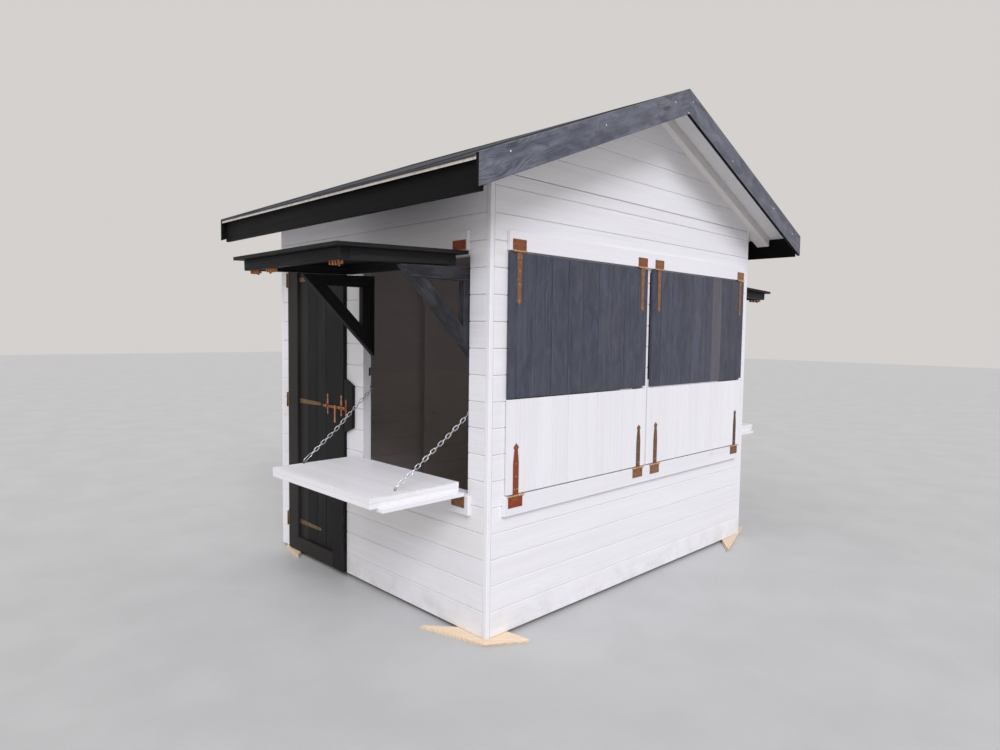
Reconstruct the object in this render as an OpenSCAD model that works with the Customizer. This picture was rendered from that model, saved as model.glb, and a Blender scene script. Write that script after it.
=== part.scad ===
// Timber market hut with a gabled felt roof, a plank door, two serving hatches with
// an awning flap and a counter flap each, and two closed hatches in the front gable.
// Millimetres. +Z is up, the front gable faces -Y, the door wall faces -X.
// The origin is on the floor, in the middle of the plan.

/* [Body] */
// outer width across the gables
wall_w = 2776; // [2400:1:3200]
// outer length along the eaves
wall_l = 2196; // [1900:1:2600]
// cover height of one wall board
board = 136; // [110:1:150]
// thickness of the wall boards
clad_t = 18; // [14:1:28]
// depth of the studs behind the boards
stud_d = 40; // [30:1:70]
// height of the packing under the corners
pad_t = 20; // [10:1:40]
// top of the wall boards below the gable panel
panel_z = 2400; // [2200:1:2500]

/* [Roof] */
// top of the covering at the ridge
ridge_z = 3075; // [2800:1:3300]
// rise per unit of run
slope = 0.4068; // [0.3:0.001:0.6]
// overhang past the side walls
eave_out = 328; // [200:1:450]
// overhang past the gables
gable_out = 266; // [150:1:400]
// vertical height of the bargeboards
barge_h = 150; // [120:1:200]
// thickness of the bargeboards
barge_t = 22; // [16:1:30]

/* [Hatches] */
// lower edge of every hatch opening
sill_z = 754; // [650:1:1000]
// upper edge of every hatch opening
head_z = 1992; // [1800:1:2100]
// hinge line of the lower flaps
pin_lo = 749; // [650:1:1000]
// hinge line of the upper flaps
pin_hi = 2014; // [1800:1:2150]
// distance of the hinge line from the wall
pin_out = 28; // [20:1:40]
// lower edge of the upper flaps' boards
flap_split = 1259; // [1100:1:1400]
// depth of the batten frame behind an upper flap
frame_d = 54; // [30:1:60]
// thickness of the inner layer of a lower flap
top_t = 48; // [30:1:50]
// thickness of a counter's upper layer
counter_t = 53; // [40:1:53]
// how far each awning is raised from closed
awning_deg = 88; // [80:0.5:90]
// how far the right hatch sits behind the left one
hatch_shift = 41; // [0:1:120]

/* [Door] */
// front edge of the door
door_y0 = 224; // [150:1:400]
// hinge edge of the door
door_y1 = 958; // [800:1:1000]
// top of the door
door_top = 2128; // [1900:1:2200]
// width of the door's side boards
stile_w = 134; // [90:1:150]

/* [Ironwork] */
// length of a strap from its pin to its tip
strap_l = 276; // [200:1:400]
// thickness of straps and plates
iron_t = 3; // [2:0.5:5]

/* [Hidden] */
hw = wall_w / 2;
hl = wall_l / 2;
g = 0.4;
inner = clad_t + stud_d;
clear = 6;
deck_t = 19.4;
felt_t = 10.8;
felt_z = ridge_z;
deck_z = ridge_z - felt_t;
soffit_z = deck_z - deck_t;
raft_h = 68;
// half the width of the flat along the ridge
ridge_x = 56;
// where the rafters' tails end
tail_x = 1640;
roof_x = hw + eave_out;
roof_y = hl + gable_out;
barge_y = roof_y - barge_t;
face = 22;

// front hatch openings, left and right
fo_l = [-1262, -56];
fo_r = [30, 1258];
// side hatch opening along the left wall
so = [-948, 31];
do_ = [door_y0 - clear, door_y1 + clear];

// strap positions
up_x = [-1203, -86, 104, 1228];
lo_x = [-1209, -90, 105, 1207];
side_up_y = [-888, -26];
side_lo_y = [-896, -18];

// chain geometry, seen along the wall: u is the distance outside the boards
chain_e = [420, 835];
chain_m = [212, 995];
// wall eyes of the near and the far chain
chain_u = [[-55, 1196], [-55, 1246]];
// along the wall: counter eye, outer half's end, inner half's start and end, wall eye
chain_y = [[-890, -903.6, -910, -925, -940], [2, 1.2, 7.6, 8, 23]];
// top of an open counter
counter_z = pin_lo - 5 + pin_out + counter_t;

// brackets: underside of the brace, and top of the arm just under the awning's frame
awning_d = 55.75;
brace_k = 0.976;
function brace(u) = 1506 + brace_k * (u - 13);
function arm_top(u) = pin_hi - (pin_out - 5 + awning_d) * sin(awning_deg) - clear - (u - pin_out + 3) / tan(awning_deg);
bracket_pin = [-56, -945];

// ---- helpers ----

// box between two corners
module bx(x0, x1, y0, y1, z0, z1) {
  translate([x0, y0, z0]) cube([x1 - x0, y1 - y0, z1 - z0]);
}

// outline in X and Z, given depth along Y
module xz(pts, y0, y1) {
  translate([0, y1, 0]) rotate([90, 0, 0]) linear_extrude(y1 - y0) polygon(pts);
}

// outline in Y and Z, given depth along X
module yz(pts, x0, x1) {
  translate([x0, 0, 0]) rotate([90, 0, 90]) linear_extrude(x1 - x0) polygon(pts);
}

// height of a roof line with the given height at the ridge
function rz(z0, x) = z0 - slope * abs(x);

// sloping slab of the roof on the +X side
module slope_slab(z_top, t, x0, x1, y0, y1) {
  xz([[x0, rz(z_top, x0)], [x1, rz(z_top, x1)], [x1, rz(z_top, x1) - t], [x0, rz(z_top, x0) - t]], y0, y1);
}

// both sides of the roof
module both_slopes() {
  children();
  mirror([1, 0, 0]) children();
}

// the right wall's hatch is the left one mirrored and set back a little
module right_side() {
  translate([0, hatch_shift, 0]) mirror([1, 0, 0]) children();
}

// the left wall's hatch parts are drawn for a wall facing -Y and turned onto it:
// along runs over the wall, out is the distance outside the boards
module on_left() {
  translate([-hw, 0, 0]) rotate([0, 0, -90]) children();
}

module on_front() {
  translate([0, -hl, 0]) children();
}

// strap hanging from its pin: round knuckle, blade and spear tip. w gives its widths at the
// root, at the fraction m of its length, at the neck and across the spear
module strap(l, w, m, t) {
  translate([-11, 0, 0]) rotate([0, 90, 0]) cylinder(h = 22, r = 5, $fn = 32);
  translate([0, 5, 0]) rotate([90, 0, 0]) linear_extrude(t) for (e = [-1, 1])
    polygon([[0, -3], [e * 11, -3], [e * 11, -9], [e * w[0] / 2, -9], [e * w[1] / 2, -m * l],
      [e * w[2] / 2, -l + 34], [e * w[3] / 2, -l + 22], [0, -l]]);
}
module upper_strap() { strap(strap_l, [39, 31, 28, 35], 0.4, iron_t - g); }
module lower_strap() { strap(strap_l, [42, 42, 26, 36], 0.6, iron_t - g); }

// ring of an eye screw, flat in X and Y, turned from a small square bar
module eye() {
  rotate_extrude($fn = 32) translate([5, -1.4]) square([2.8, 2.8]);
}

// plate of a strap hinge with the two outer knuckles; the pin is at the origin,
// s is 1 where the plate stands above the pin and -1 where it hangs below it
module plate(w, h, s) {
  for (e = [-1, 1]) translate([e * 17.5 - 5, 0, 0]) rotate([0, 90, 0]) cylinder(h = 10, r = 5, $fn = 32);
  y1 = pin_out - face;
  for (e = [-1, 1]) bx(e * 17.5 - 5, e * 17.5 + 5, y1 - iron_t, y1, min(0, s * 8), max(0, s * 8));
  bx(-w / 2, w / 2, y1 - iron_t, y1, min(s * 7, s * (7 + h)), max(s * 7, s * (7 + h)));
}

// ---- base ----

// places at each bracket of the left wall, seen from its hinge line: Y runs from the jamb
// into the opening and X into the hut
hinge_z = [1500, 1800];
module at_brackets() {
  for (i = [0, 1]) translate([-hw, bracket_y(i), 0]) mirror([0, i, 0]) children();
}
function bracket_y(i) = i == 0 ? bracket_pin[1] : so[0] + so[1] - bracket_pin[1];

// thin pine offcuts, two layers under each corner
module pad(pts, pts2) {
  linear_extrude(pad_t / 2 - 0.2) polygon(pts);
  translate([0, 0, pad_t / 2 + 0.2]) linear_extrude(pad_t / 2 - 0.2) polygon(pts2);
}

module corner_pads() {
  color([0.93, 0.80, 0.62]) {
    translate([-hw, -hl, 0])
      pad([[-130, 376], [-27, -8], [180, -138], [150, 60]], [[-124, 363], [-30, -18], [176, -141], [152, 50]]);
    translate([hw, -hl, 0])
      pad([[-455, -138], [225, 72], [-80, 150]], [[-448, -142], [218, 70], [-84, 146]]);
    translate([-hw, hl, 0])
      pad([[-62, -355], [180, -90], [130, 95], [-30, -120]], [[-60, -345], [176, -86], [128, 92], [-30, -118]]);
    translate([hw, hl, 0])
      pad([[130, -376], [27, 8], [-180, 138], [-150, -60]], [[124, -363], [30, 18], [-176, 141], [-152, -50]]);
  }
}

// joists of the floor, between the wall frames
module floor_bearers() {
  color([0.72, 0.58, 0.42])
    for (y = [-1039.5, -542, -22.5, 497, 994.5]) bx(-hw + inner + g, hw - inner - g, y, y + 45, pad_t, 70);
}

module floor_boards() {
  color([0.66, 0.52, 0.38])
    bx(-hw + inner + g, hw - inner - g, -hl + inner + g, hl - inner - g, 70 + g, 90);
}

// ---- walls ----

module end_cladding() {
  color([0.90, 0.90, 0.93]) {
    // front wall: below, between and over the two hatch openings
    on_front() {
      bx(-hw + 30, hw - 30, 0, clad_t, pad_t, sill_z);
      bx(-hw + 30, fo_l[0], 0, clad_t, sill_z + g, head_z);
      bx(fo_l[1], fo_r[0], 0, clad_t, sill_z + g, head_z);
      bx(fo_r[1], hw - 30, 0, clad_t, sill_z + g, head_z);
      bx(-hw + 30, hw - 30, 0, clad_t, head_z + g, panel_z);
    }
    // plain back wall
    bx(-hw + 30, hw - 30, hl - clad_t, hl, pad_t, panel_z);
  }
}

// separate triangular panels over the end walls
module gable_panels() {
  e = hw - 30;
  color([0.90, 0.90, 0.93])
    for (y = [-hl, hl - clad_t])
      xz([[-e, panel_z + 2], [e, panel_z + 2], [e, rz(soffit_z, e) - 1], [ridge_x, rz(soffit_z, ridge_x) - 1],
          [-ridge_x, rz(soffit_z, ridge_x) - 1], [-e, rz(soffit_z, e) - 1]], y, y + clad_t);
}

module side_cladding() {
  top = rz(soffit_z, hw) - 4;
  color([0.90, 0.90, 0.93]) {
    // door wall: boards beside, under and over the hatch and the door
    bx(-hw, -hw + clad_t, -hl + 30, so[0], pad_t, top);
    bx(-hw, -hw + clad_t, so[1], do_[0], pad_t, top);
    bx(-hw, -hw + clad_t, do_[1], hl - 30, pad_t, top);
    bx(-hw, -hw + clad_t, so[0] + g, so[1] - g, pad_t, sill_z);
    bx(-hw, -hw + clad_t, so[0] + g, so[1] - g, head_z, top);
    bx(-hw, -hw + clad_t, do_[0] + g, do_[1] - g, door_top + clear, top);
    // other side wall
    bx(hw - clad_t, hw, -hl + 30, so[0] + hatch_shift, pad_t, top);
    bx(hw - clad_t, hw, so[1] + hatch_shift, hl - 30, pad_t, top);
    bx(hw - clad_t, hw, so[0] + hatch_shift + g, so[1] + hatch_shift - g, pad_t, sill_z);
    bx(hw - clad_t, hw, so[0] + hatch_shift + g, so[1] + hatch_shift - g, head_z, top);
  }
}

// upright studs of the wall frames
module wall_posts() {
  y0 = -hl + clad_t;
  x0 = -hw + clad_t;
  z0 = pad_t + 40 + g;
  z1 = 2300 - g;
  color([0.70, 0.57, 0.42]) {
    // front wall: beside both openings, and the mullion between them
    for (p = [[-1329, fo_l[0]], [fo_l[1], fo_r[0]], [fo_r[1], 1329]]) bx(p[0], p[1], y0, y0 + stud_d, z0, z1);
    // back wall: ends and centre post
    for (p = [[-1329, -1270], [-107, -19], [1270, 1329]]) bx(p[0], p[1], hl - inner, hl - clad_t, z0, z1);
    // door wall
    for (p = [[-1069.5, -1010], [-1008, -948], [31, 91], [158, 218], [964, 1069.5]])
      bx(x0, x0 + stud_d, p[0], p[1], z0, z1);
    // other side wall
    for (p = [[-1069.5, -1010], [-967, -907], [72, 132], [560, 620], [1010, 1069.5]])
      bx(-x0 - stud_d, -x0, p[0], p[1], z0, z1);
    // short posts behind the gable panels
    for (y = [y0, hl - inner]) bx(-56, 30, y, y + stud_d, 2340 + g, 2860);
  }
}

// level members of the wall frames
module wall_rails() {
  y0 = -hl + clad_t;
  x0 = -hw + clad_t;
  color([0.70, 0.57, 0.42]) {
    for (z = [[pad_t, 60], [2300, 2340]]) {
      for (y = [y0, hl - inner]) bx(-1329.5, 1329.5, y, y + stud_d, z[0], z[1]);
      for (x = [x0, -x0 - stud_d]) bx(x, x + stud_d, -1069.5, 1069.5, z[0], z[1]);
    }
    // under and over each opening, between the studs
    for (z = [[sill_z - 40, sill_z], [head_z, head_z + 40]]) {
      for (p = [fo_l, fo_r]) bx(p[0] + g, p[1] - g, y0, y0 + stud_d, z[0], z[1]);
      bx(x0, x0 + stud_d, so[0] + g, so[1] - g, z[0], z[1]);
      bx(-x0 - stud_d, -x0, so[0] + hatch_shift + g, so[1] + hatch_shift - g, z[0], z[1]);
    }
    bx(x0, x0 + stud_d, do_[0] + g, do_[1] - g, door_top + clear, door_top + clear + 40);
  }
}

module corner_battens() {
  color([0.90, 0.90, 0.93])
    for (sx = [-1, 1], sy = [-1, 1])
      bx(min(sx * hw, sx * (hw - 28)), max(sx * hw, sx * (hw - 28)),
        min(sy * hl, sy * (hl - 28)), max(sy * hl, sy * (hl - 28)), pad_t, rz(soffit_z, hw) - 4);
}

// boards over and under each pair of flaps, which carry the hinge plates
module side_hatch_boards() {
  bx(-hw - face, -hw, -950, 60, 2016, 2114);
  bx(-hw - face, -hw, -974, 85, 646, 749);
}

module hatch_boards() {
  color([0.90, 0.90, 0.93]) {
    bx(-1273, 1280, -hl - face, -hl, 2016, 2114);
    bx(-1288, 1264, -hl - face, -hl, 646, 749);
    side_hatch_boards();
    right_side() side_hatch_boards();
  }
}

// hinge plates, chain eyes and catches that stay on the walls
module side_wall_irons() {
  on_left() {
    for (a = side_up_y) translate([-a, -pin_out, pin_hi]) plate(102, 48, 1);
    for (a = side_lo_y) translate([-a, -pin_out, pin_lo]) plate(102, 60, -1);
  }
  // eyes in the reveals, where the chains are hooked
  for (i = [0, 1]) {
    y = chain_y[i][4];
    ys = y + (i * 2 - 1) * 6.4;
    translate([-hw - chain_u[i][0], y, chain_u[i][1]]) rotate([0, 90, 0]) eye();
    translate([-hw - chain_u[i][0], min(ys, so[i]), chain_u[i][1]]) rotate([-90, 0, 0])
      cylinder(h = abs(so[i] - ys), r = 1.1, $fn = 24);
  }
  // fixed leaves and outer knuckles of the brackets' hinges
  at_brackets() for (z = hinge_z) {
    bx(-bracket_pin[0] - 28, -bracket_pin[0] - 4, -2.8, -1.6, z - 30, z + 30);
    for (e = [-30, 15.5]) {
      bx(-bracket_pin[0] - 4.5, -bracket_pin[0], -2.3, -1.6, z + e, z + e + 14.5);
      translate([-bracket_pin[0], 0, z + e]) cylinder(h = 14.5, r = 2.6, $fn = 32);
    }
  }
}

module wall_irons() {
  color([0.48, 0.27, 0.17]) {
    on_front() {
      for (x = up_x) translate([x, -pin_out, pin_hi]) plate(100, 54, 1);
      for (x = lo_x) translate([x, -pin_out, pin_lo]) plate(106, 55, -1);
    }
    side_wall_irons();
    right_side() side_wall_irons();
    // leaves of the door hinges on the corner strip
    for (z = [237, 1098, 1943]) bx(-hw - iron_t, -hw, 974, 1000, z - 50, z + 50);
    // keeper loop of the door bolt, on its board
    for (y = [180, 196]) bx(-hw - face - 22, -hw - face, y, y + 4, 1078, 1120);
  }
}

// dark board with cut corners beside the door, as thick as the door stands proud
module keeper_board() {
  color([0.10, 0.11, 0.12])
    yz([[do_[0] - 1, 943], [do_[0] - 1, 1290], [122, 1250], [122, 983]], -hw - face, -hw);
}

// ---- roof ----

// one rafter on the +X side, its top cut level under the flat ridge, its end cut plumb
module rafter(y0, t, x0, x1) {
  zt = soffit_z - g;
  xf = ridge_x - g;
  xz([[x0, rz(zt, xf)], [xf, rz(zt, xf)], [x1, rz(zt, x1)], [x1, rz(zt, x1) - raft_h], [x0, rz(zt, x0) - raft_h]], y0, y0 + t);
}

// the part of a rafter that carries the eaves, outside the side wall
module rafter_tail(y0, t) {
  slope_slab(soffit_z - g, raft_h, hw + g, tail_x, y0, y0 + t);
}

module rafters() {
  color([0.88, 0.87, 0.87]) {
    both_slopes() {
      for (y = [-hl - 50 - g, hl + g]) rafter(y, 50, g / 2, tail_x);
      for (y = [-hl + clad_t + g, hl - inner - g]) rafter(y, stud_d, 14 + g, 1329);
      for (y = [-388, 348]) {
        rafter(y, stud_d, 14 + g, 1329);
        rafter_tail(y, stud_d);
      }
      for (y = [-hl, hl - 48]) rafter_tail(y, 48);
    }
    // ridge board between the gables
    bx(-14, 14, -hl + inner - 1, hl - inner + 1, soffit_z - 150, rz(soffit_z, ridge_x) - 1);
  }
}

module roof_deck() {
  color([0.86, 0.86, 0.87]) {
    both_slopes() slope_slab(deck_z - g, deck_t - g, ridge_x + g, roof_x, -barge_y + g, barge_y - g);
    // flat board along the ridge
    bx(-ridge_x, ridge_x, -barge_y + g, barge_y - g, rz(soffit_z, ridge_x), rz(deck_z, ridge_x) - g);
  }
}

module roof_felt() {
  color([0.17, 0.18, 0.20]) {
    both_slopes() slope_slab(felt_z, felt_t, ridge_x + g, roof_x + 4, -barge_y + g, barge_y - g);
    // strip over the flat ridge
    bx(-ridge_x, ridge_x, -barge_y + g, barge_y - g, rz(deck_z, ridge_x), rz(felt_z, ridge_x));
  }
}

// verge boards, mitred at the ridge and cut plumb at the eaves
module bargeboards() {
  color([0.25, 0.27, 0.30])
    both_slopes() for (y = [-roof_y, barge_y]) slope_slab(felt_z, barge_h, g, roof_x, y, y + barge_t);
}

module eave_fascias() {
  x0 = hw + 279;
  color([0.10, 0.11, 0.12])
    both_slopes()
      xz([[x0, 2218], [x0 + 20, 2218], [x0 + 20, rz(soffit_z, x0 + 20) - 2], [x0, rz(soffit_z, x0) - 2]],
        -barge_y + g, barge_y - g);
}

// ---- door ----

module door_leaf() {
  z0 = 27;
  o = -hw - face;
  color([0.10, 0.11, 0.12]) {
    // panel of upright boards
    bx(-hw - 2, -hw + 12, door_y0, door_y1, z0, door_top);
    // side boards and rails on its face
    bx(o, -hw - 2 - g, door_y0, door_y0 + stile_w, z0, door_top);
    bx(o, -hw - 2 - g, door_y1 - stile_w, door_y1, z0, door_top);
    bx(o, -hw - 2 - g, door_y0 + stile_w + g, door_y1 - stile_w - g, z0, z0 + 96);
    bx(o, -hw - 2 - g, door_y0 + stile_w + g, door_y1 - stile_w - g, door_top - 96, door_top);
  }
}

// short straps on the panel, knuckles at the edge, and the bolt with its guides and handle
module door_irons() {
  color([0.62, 0.47, 0.24])
    for (z = [237, 1098, 1943]) {
      bx(-hw - 5, -hw - 2 - g, 529, door_y1 - stile_w - 1, z - 17, z + 17);
      translate([-hw - 27, 963, z - 50]) cylinder(h = 100, r = 5, $fn = 32);
      bx(-hw - 25, -hw - face - g, door_y1 - 16, 962, z - 50, z + 50);
    }
  color([0.62, 0.34, 0.20]) {
    bx(-hw - 36, -hw - 28, 206, 452, 1094, 1108);
    for (y = [238, 405]) bx(-hw - 40, -hw - face - g, y, y + 16, 1040, 1184);
    bx(-hw - 46, -hw - 36 - g, 285, 309, 1000, 1112);
  }
}

// ---- flaps ----

// boards and batten frame of an upper flap, drawn closed; its pin line is at the origin,
// b is the lower edge of the boards, zt and zb the ends of the frame, d its depth
module upper_flap(a0, a1, o0, o1, b, zt, zb, d) {
  bx(a0, a1, pin_out - 23, pin_out - 5, b, -7);
  y0 = pin_out - 5 + g;
  y1 = pin_out - 5 + d;
  x0 = o0 + clear;
  x1 = o1 - clear;
  bx(x0, x1, y0, y1, zt - 46, zt);
  bx(x0, x1, y0, y1, zb, zb + 46);
  bx(x0, x0 + 46, y0, y1, zb + 46 + g, zt - 46 - g);
  bx(x1 - 46, x1, y0, y1, zb + 46 + g, zt - 46 - g);
}

// boards and thick inner layer of a lower flap, drawn closed; its pin line is at the origin,
// s0 to s1 are the boards, l0 to l1 the layer, t its thickness
module lower_flap(a0, a1, o0, o1, s0, s1, l0, l1, t) {
  bx(a0, a1, pin_out - 23, pin_out - 5, s0, s1);
  bx(o0 + clear, o1 - clear, pin_out - 5 + g, pin_out - 5 + t, l0, l1);
}

module up_flap_front(a0, a1, o) {
  color([0.11, 0.12, 0.14])
    translate([0, -hl - pin_out, pin_hi]) upper_flap(a0, a1, o[0], o[1],
      flap_split - pin_hi, head_z - clear - pin_hi, flap_split + 47 - pin_hi, frame_d);
}

module lo_flap_front(a0, a1, o) {
  color([0.90, 0.90, 0.93])
    translate([0, -hl - pin_out, pin_lo]) lower_flap(a0, a1, o[0], o[1], 8, 504, 12, 498, top_t);
}

module up_irons_front(xs) {
  color([0.48, 0.27, 0.17])
    for (x = xs) translate([x, -hl - pin_out, pin_hi]) upper_strap();
}

module lo_irons_front(xs) {
  color([0.48, 0.27, 0.17])
    for (x = xs) translate([x, -hl - pin_out, pin_lo]) mirror([0, 0, 1]) lower_strap();
}

module flap_ul() { up_flap_front(-1268, -27, fo_l); }
module flap_ul_irons() { up_irons_front([up_x[0], up_x[1]]); }
module flap_ur() { up_flap_front(37, 1286, fo_r); }
module flap_ur_irons() { up_irons_front([up_x[2], up_x[3]]); }
module flap_ll() { lo_flap_front(-1269, -12, fo_l); }
module flap_ll_irons() { lo_irons_front([lo_x[0], lo_x[1]]); }
module flap_lr() { lo_flap_front(0, 1284, fo_r); }
module flap_lr_irons() { lo_irons_front([lo_x[2], lo_x[3]]); }

// side flaps stand open: turned about their pin lines
module awning_turn() {
  on_left() translate([0, -pin_out, pin_hi]) rotate([-awning_deg, 0, 0]) children();
}

module counter_turn() {
  on_left() translate([0, -pin_out, pin_lo]) rotate([90, 0, 0]) children();
}

module awning() {
  color([0.11, 0.12, 0.14]) awning_turn() upper_flap(-68, 976, -so[1], -so[0], -767, -64, -727, awning_d);
}

// straps on the boards, and small bolts under the front batten
module awning_irons() {
  color([0.48, 0.27, 0.17]) awning_turn() {
    for (a = side_up_y) translate([-a, 0, 0]) upper_strap();
    y1 = pin_out - 5 + awning_d;
    for (a = [65, 246, 865]) bx(a - 56, a + 56, y1 + g, y1 + 27, -722, -686);
  }
}

module counter() {
  color([0.90, 0.90, 0.93]) counter_turn() lower_flap(-60, 976, -so[1], -so[0], 22, 525, 28, 572, counter_t);
}

// straps underneath, and the eyes that hold the chains
module counter_irons() {
  color([0.48, 0.27, 0.17]) {
    counter_turn() for (a = side_lo_y) translate([-a, 0, 0]) mirror([0, 0, 1]) lower_strap();
    for (c = chain_y) {
      translate([-hw - chain_e[0], c[0], chain_e[1]]) rotate([90, 0, 0]) eye();
      translate([-hw - chain_e[0], c[0], counter_z])
        cylinder(h = chain_e[1] - 6.4 - counter_z, r = 1.1, $fn = 24);
    }
  }
}

module awning_left() { awning(); }
module awning_left_irons() { awning_irons(); }
module awning_right() { right_side() awning(); }
module awning_right_irons() { right_side() awning_irons(); }
module counter_left() { counter(); }
module counter_left_irons() { counter_irons(); }
module counter_right() { right_side() counter(); }
module counter_right_irons() { right_side() counter_irons(); }

// triangular bracket under an awning: post, arm and diagonal brace of flat timber,
// with the leaves and middle knuckles of its hinges; drawn from its hinge line
module bracket() {
  u0 = bracket_pin[0] + 3;
  u1 = 428;
  za = 1859;
  ub = 13 + (za - 1506) / brace_k;
  color([0.09, 0.10, 0.12]) mirror([1, 0, 0]) {
    xz([[u0, brace(u0)], [35, brace(35)], [35, za - g], [u0, za - g]], 3, 43);
    xz([[u0, za], [ub, za], [u1, brace(u1)], [u1, arm_top(u1)], [u0, arm_top(u0)]], 3, 43);
    xz([[35 + g, brace(35) + g], [ub - g, za - g], [ub - 100, za - g], [35 + g, brace(35) + 97.8]], 3, 43);
    for (z = hinge_z) {
      bx(bracket_pin[0] - 0.5, bracket_pin[0] + 28, 1.6, 2.8, z - 14.5, z + 14.5);
      translate([bracket_pin[0], 0, z - 15]) cylinder(h = 30, r = 2.6, $fn = 32);
    }
  }
}

module bracket_at(i) {
  translate([-hw, bracket_y(i), 0]) mirror([0, i, 0]) bracket();
}

module bracket_left_near() { bracket_at(0); }
module bracket_left_far() { bracket_at(1); }
module bracket_right_near() { right_side() bracket_at(0); }
module bracket_right_far() { right_side() bracket_at(1); }

// round bar from one point to another, each given as u, along the wall and height,
// shortened by s0 and s1 at its ends
module rod(p, q, s0, s1, r) {
  a = [-hw - p[0], p[1], p[2]];
  d = [p[0] - q[0], q[1] - p[1], q[2] - p[2]];
  translate(a) rotate([0, acos(d[2] / norm(d)), atan2(d[1], d[0])]) translate([0, 0, s0])
    cylinder(h = norm(d) - s0 - s1, r = r, $fn = 24);
}

// both chains of one counter, each in two stretches that bend where they meet
module chain_outer() {
  color([0.75, 0.76, 0.78]) for (c = chain_y) {
    rod([chain_e[0], c[0], chain_e[1]], [chain_m[0], c[1], chain_m[1]], 12, 0.5, 2.5);
    translate([-hw - chain_m[0], c[1], chain_m[1]]) {
      cube([8, 5.6, 8], center = true);
      e = sign(c[2] - c[1]);
      rotate([-90 * e, 0, 0]) cylinder(h = abs(c[2] - c[1]) + 2, r = 1.5, $fn = 24);
    }
  }
}

module chain_inner() {
  color([0.75, 0.76, 0.78]) for (i = [0, 1])
    rod([chain_m[0], chain_y[i][2], chain_m[1]], [chain_u[i][0], chain_y[i][3], chain_u[i][1]], 4.5, 12, 2.5);
}

module chain_left_a() { chain_outer(); }
module chain_left_b() { chain_inner(); }
module chain_right_a() { right_side() chain_outer(); }
module chain_right_b() { right_side() chain_inner(); }

// ---- nodes ----

corner_pads();
floor_bearers();
floor_boards();
end_cladding();
gable_panels();
side_cladding();
wall_posts();
wall_rails();
corner_battens();
hatch_boards();
wall_irons();
keeper_board();
rafters();
roof_deck();
roof_felt();
bargeboards();
eave_fascias();
door_leaf();
door_irons();
flap_ul();
flap_ul_irons();
flap_ur();
flap_ur_irons();
flap_ll();
flap_ll_irons();
flap_lr();
flap_lr_irons();
awning_left();
awning_left_irons();
awning_right();
awning_right_irons();
counter_left();
counter_left_irons();
counter_right();
counter_right_irons();
bracket_left_near();
bracket_left_far();
bracket_right_near();
bracket_right_far();
chain_left_a();
chain_left_b();
chain_right_a();
chain_right_b();
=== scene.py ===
import math
import random

import bpy
import numpy as np
from mathutils import Matrix, Vector


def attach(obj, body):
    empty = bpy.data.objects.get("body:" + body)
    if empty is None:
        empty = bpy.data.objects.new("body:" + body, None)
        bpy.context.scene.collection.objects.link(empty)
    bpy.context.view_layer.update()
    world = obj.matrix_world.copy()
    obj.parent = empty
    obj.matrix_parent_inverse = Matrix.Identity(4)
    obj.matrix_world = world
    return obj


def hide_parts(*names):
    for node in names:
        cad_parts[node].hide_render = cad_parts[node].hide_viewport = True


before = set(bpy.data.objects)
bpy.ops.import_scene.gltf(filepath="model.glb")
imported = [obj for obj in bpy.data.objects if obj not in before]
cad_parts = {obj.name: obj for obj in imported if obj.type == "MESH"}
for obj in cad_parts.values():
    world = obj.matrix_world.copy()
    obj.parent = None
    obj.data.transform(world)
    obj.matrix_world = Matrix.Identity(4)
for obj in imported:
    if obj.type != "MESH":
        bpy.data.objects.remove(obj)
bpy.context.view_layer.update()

# ------------------------------------------------------------------ sizes, metres
HW, HL = 1.388, 1.098
BOARD = 0.136
CLAD, STUD = 0.018, 0.040
RIDGE, SLOPE = 3.075, 0.4068
TH = math.atan(SLOPE)
CT, ST = math.cos(TH), math.sin(TH)
SOFFIT = RIDGE - 0.0108 - 0.0194
ROOF_X, ROOF_Y = HW + 0.328, HL + 0.266
BARGE_T = 0.022
SILL, HEAD = 0.754, 1.992
PIN_LO, PIN_HI, PIN_OUT = 0.749, 2.014, 0.028
FACE = 0.022
SHIFT = 0.041
SO = (-0.948, 0.031)
DOOR = (0.224, 0.958, 0.027, 2.128)
FO_L, FO_R = (-1.262, -0.056), (0.030, 1.258)
AWN = math.radians(88.0)


def rz(top, x):
    return top - SLOPE * abs(x)


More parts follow.
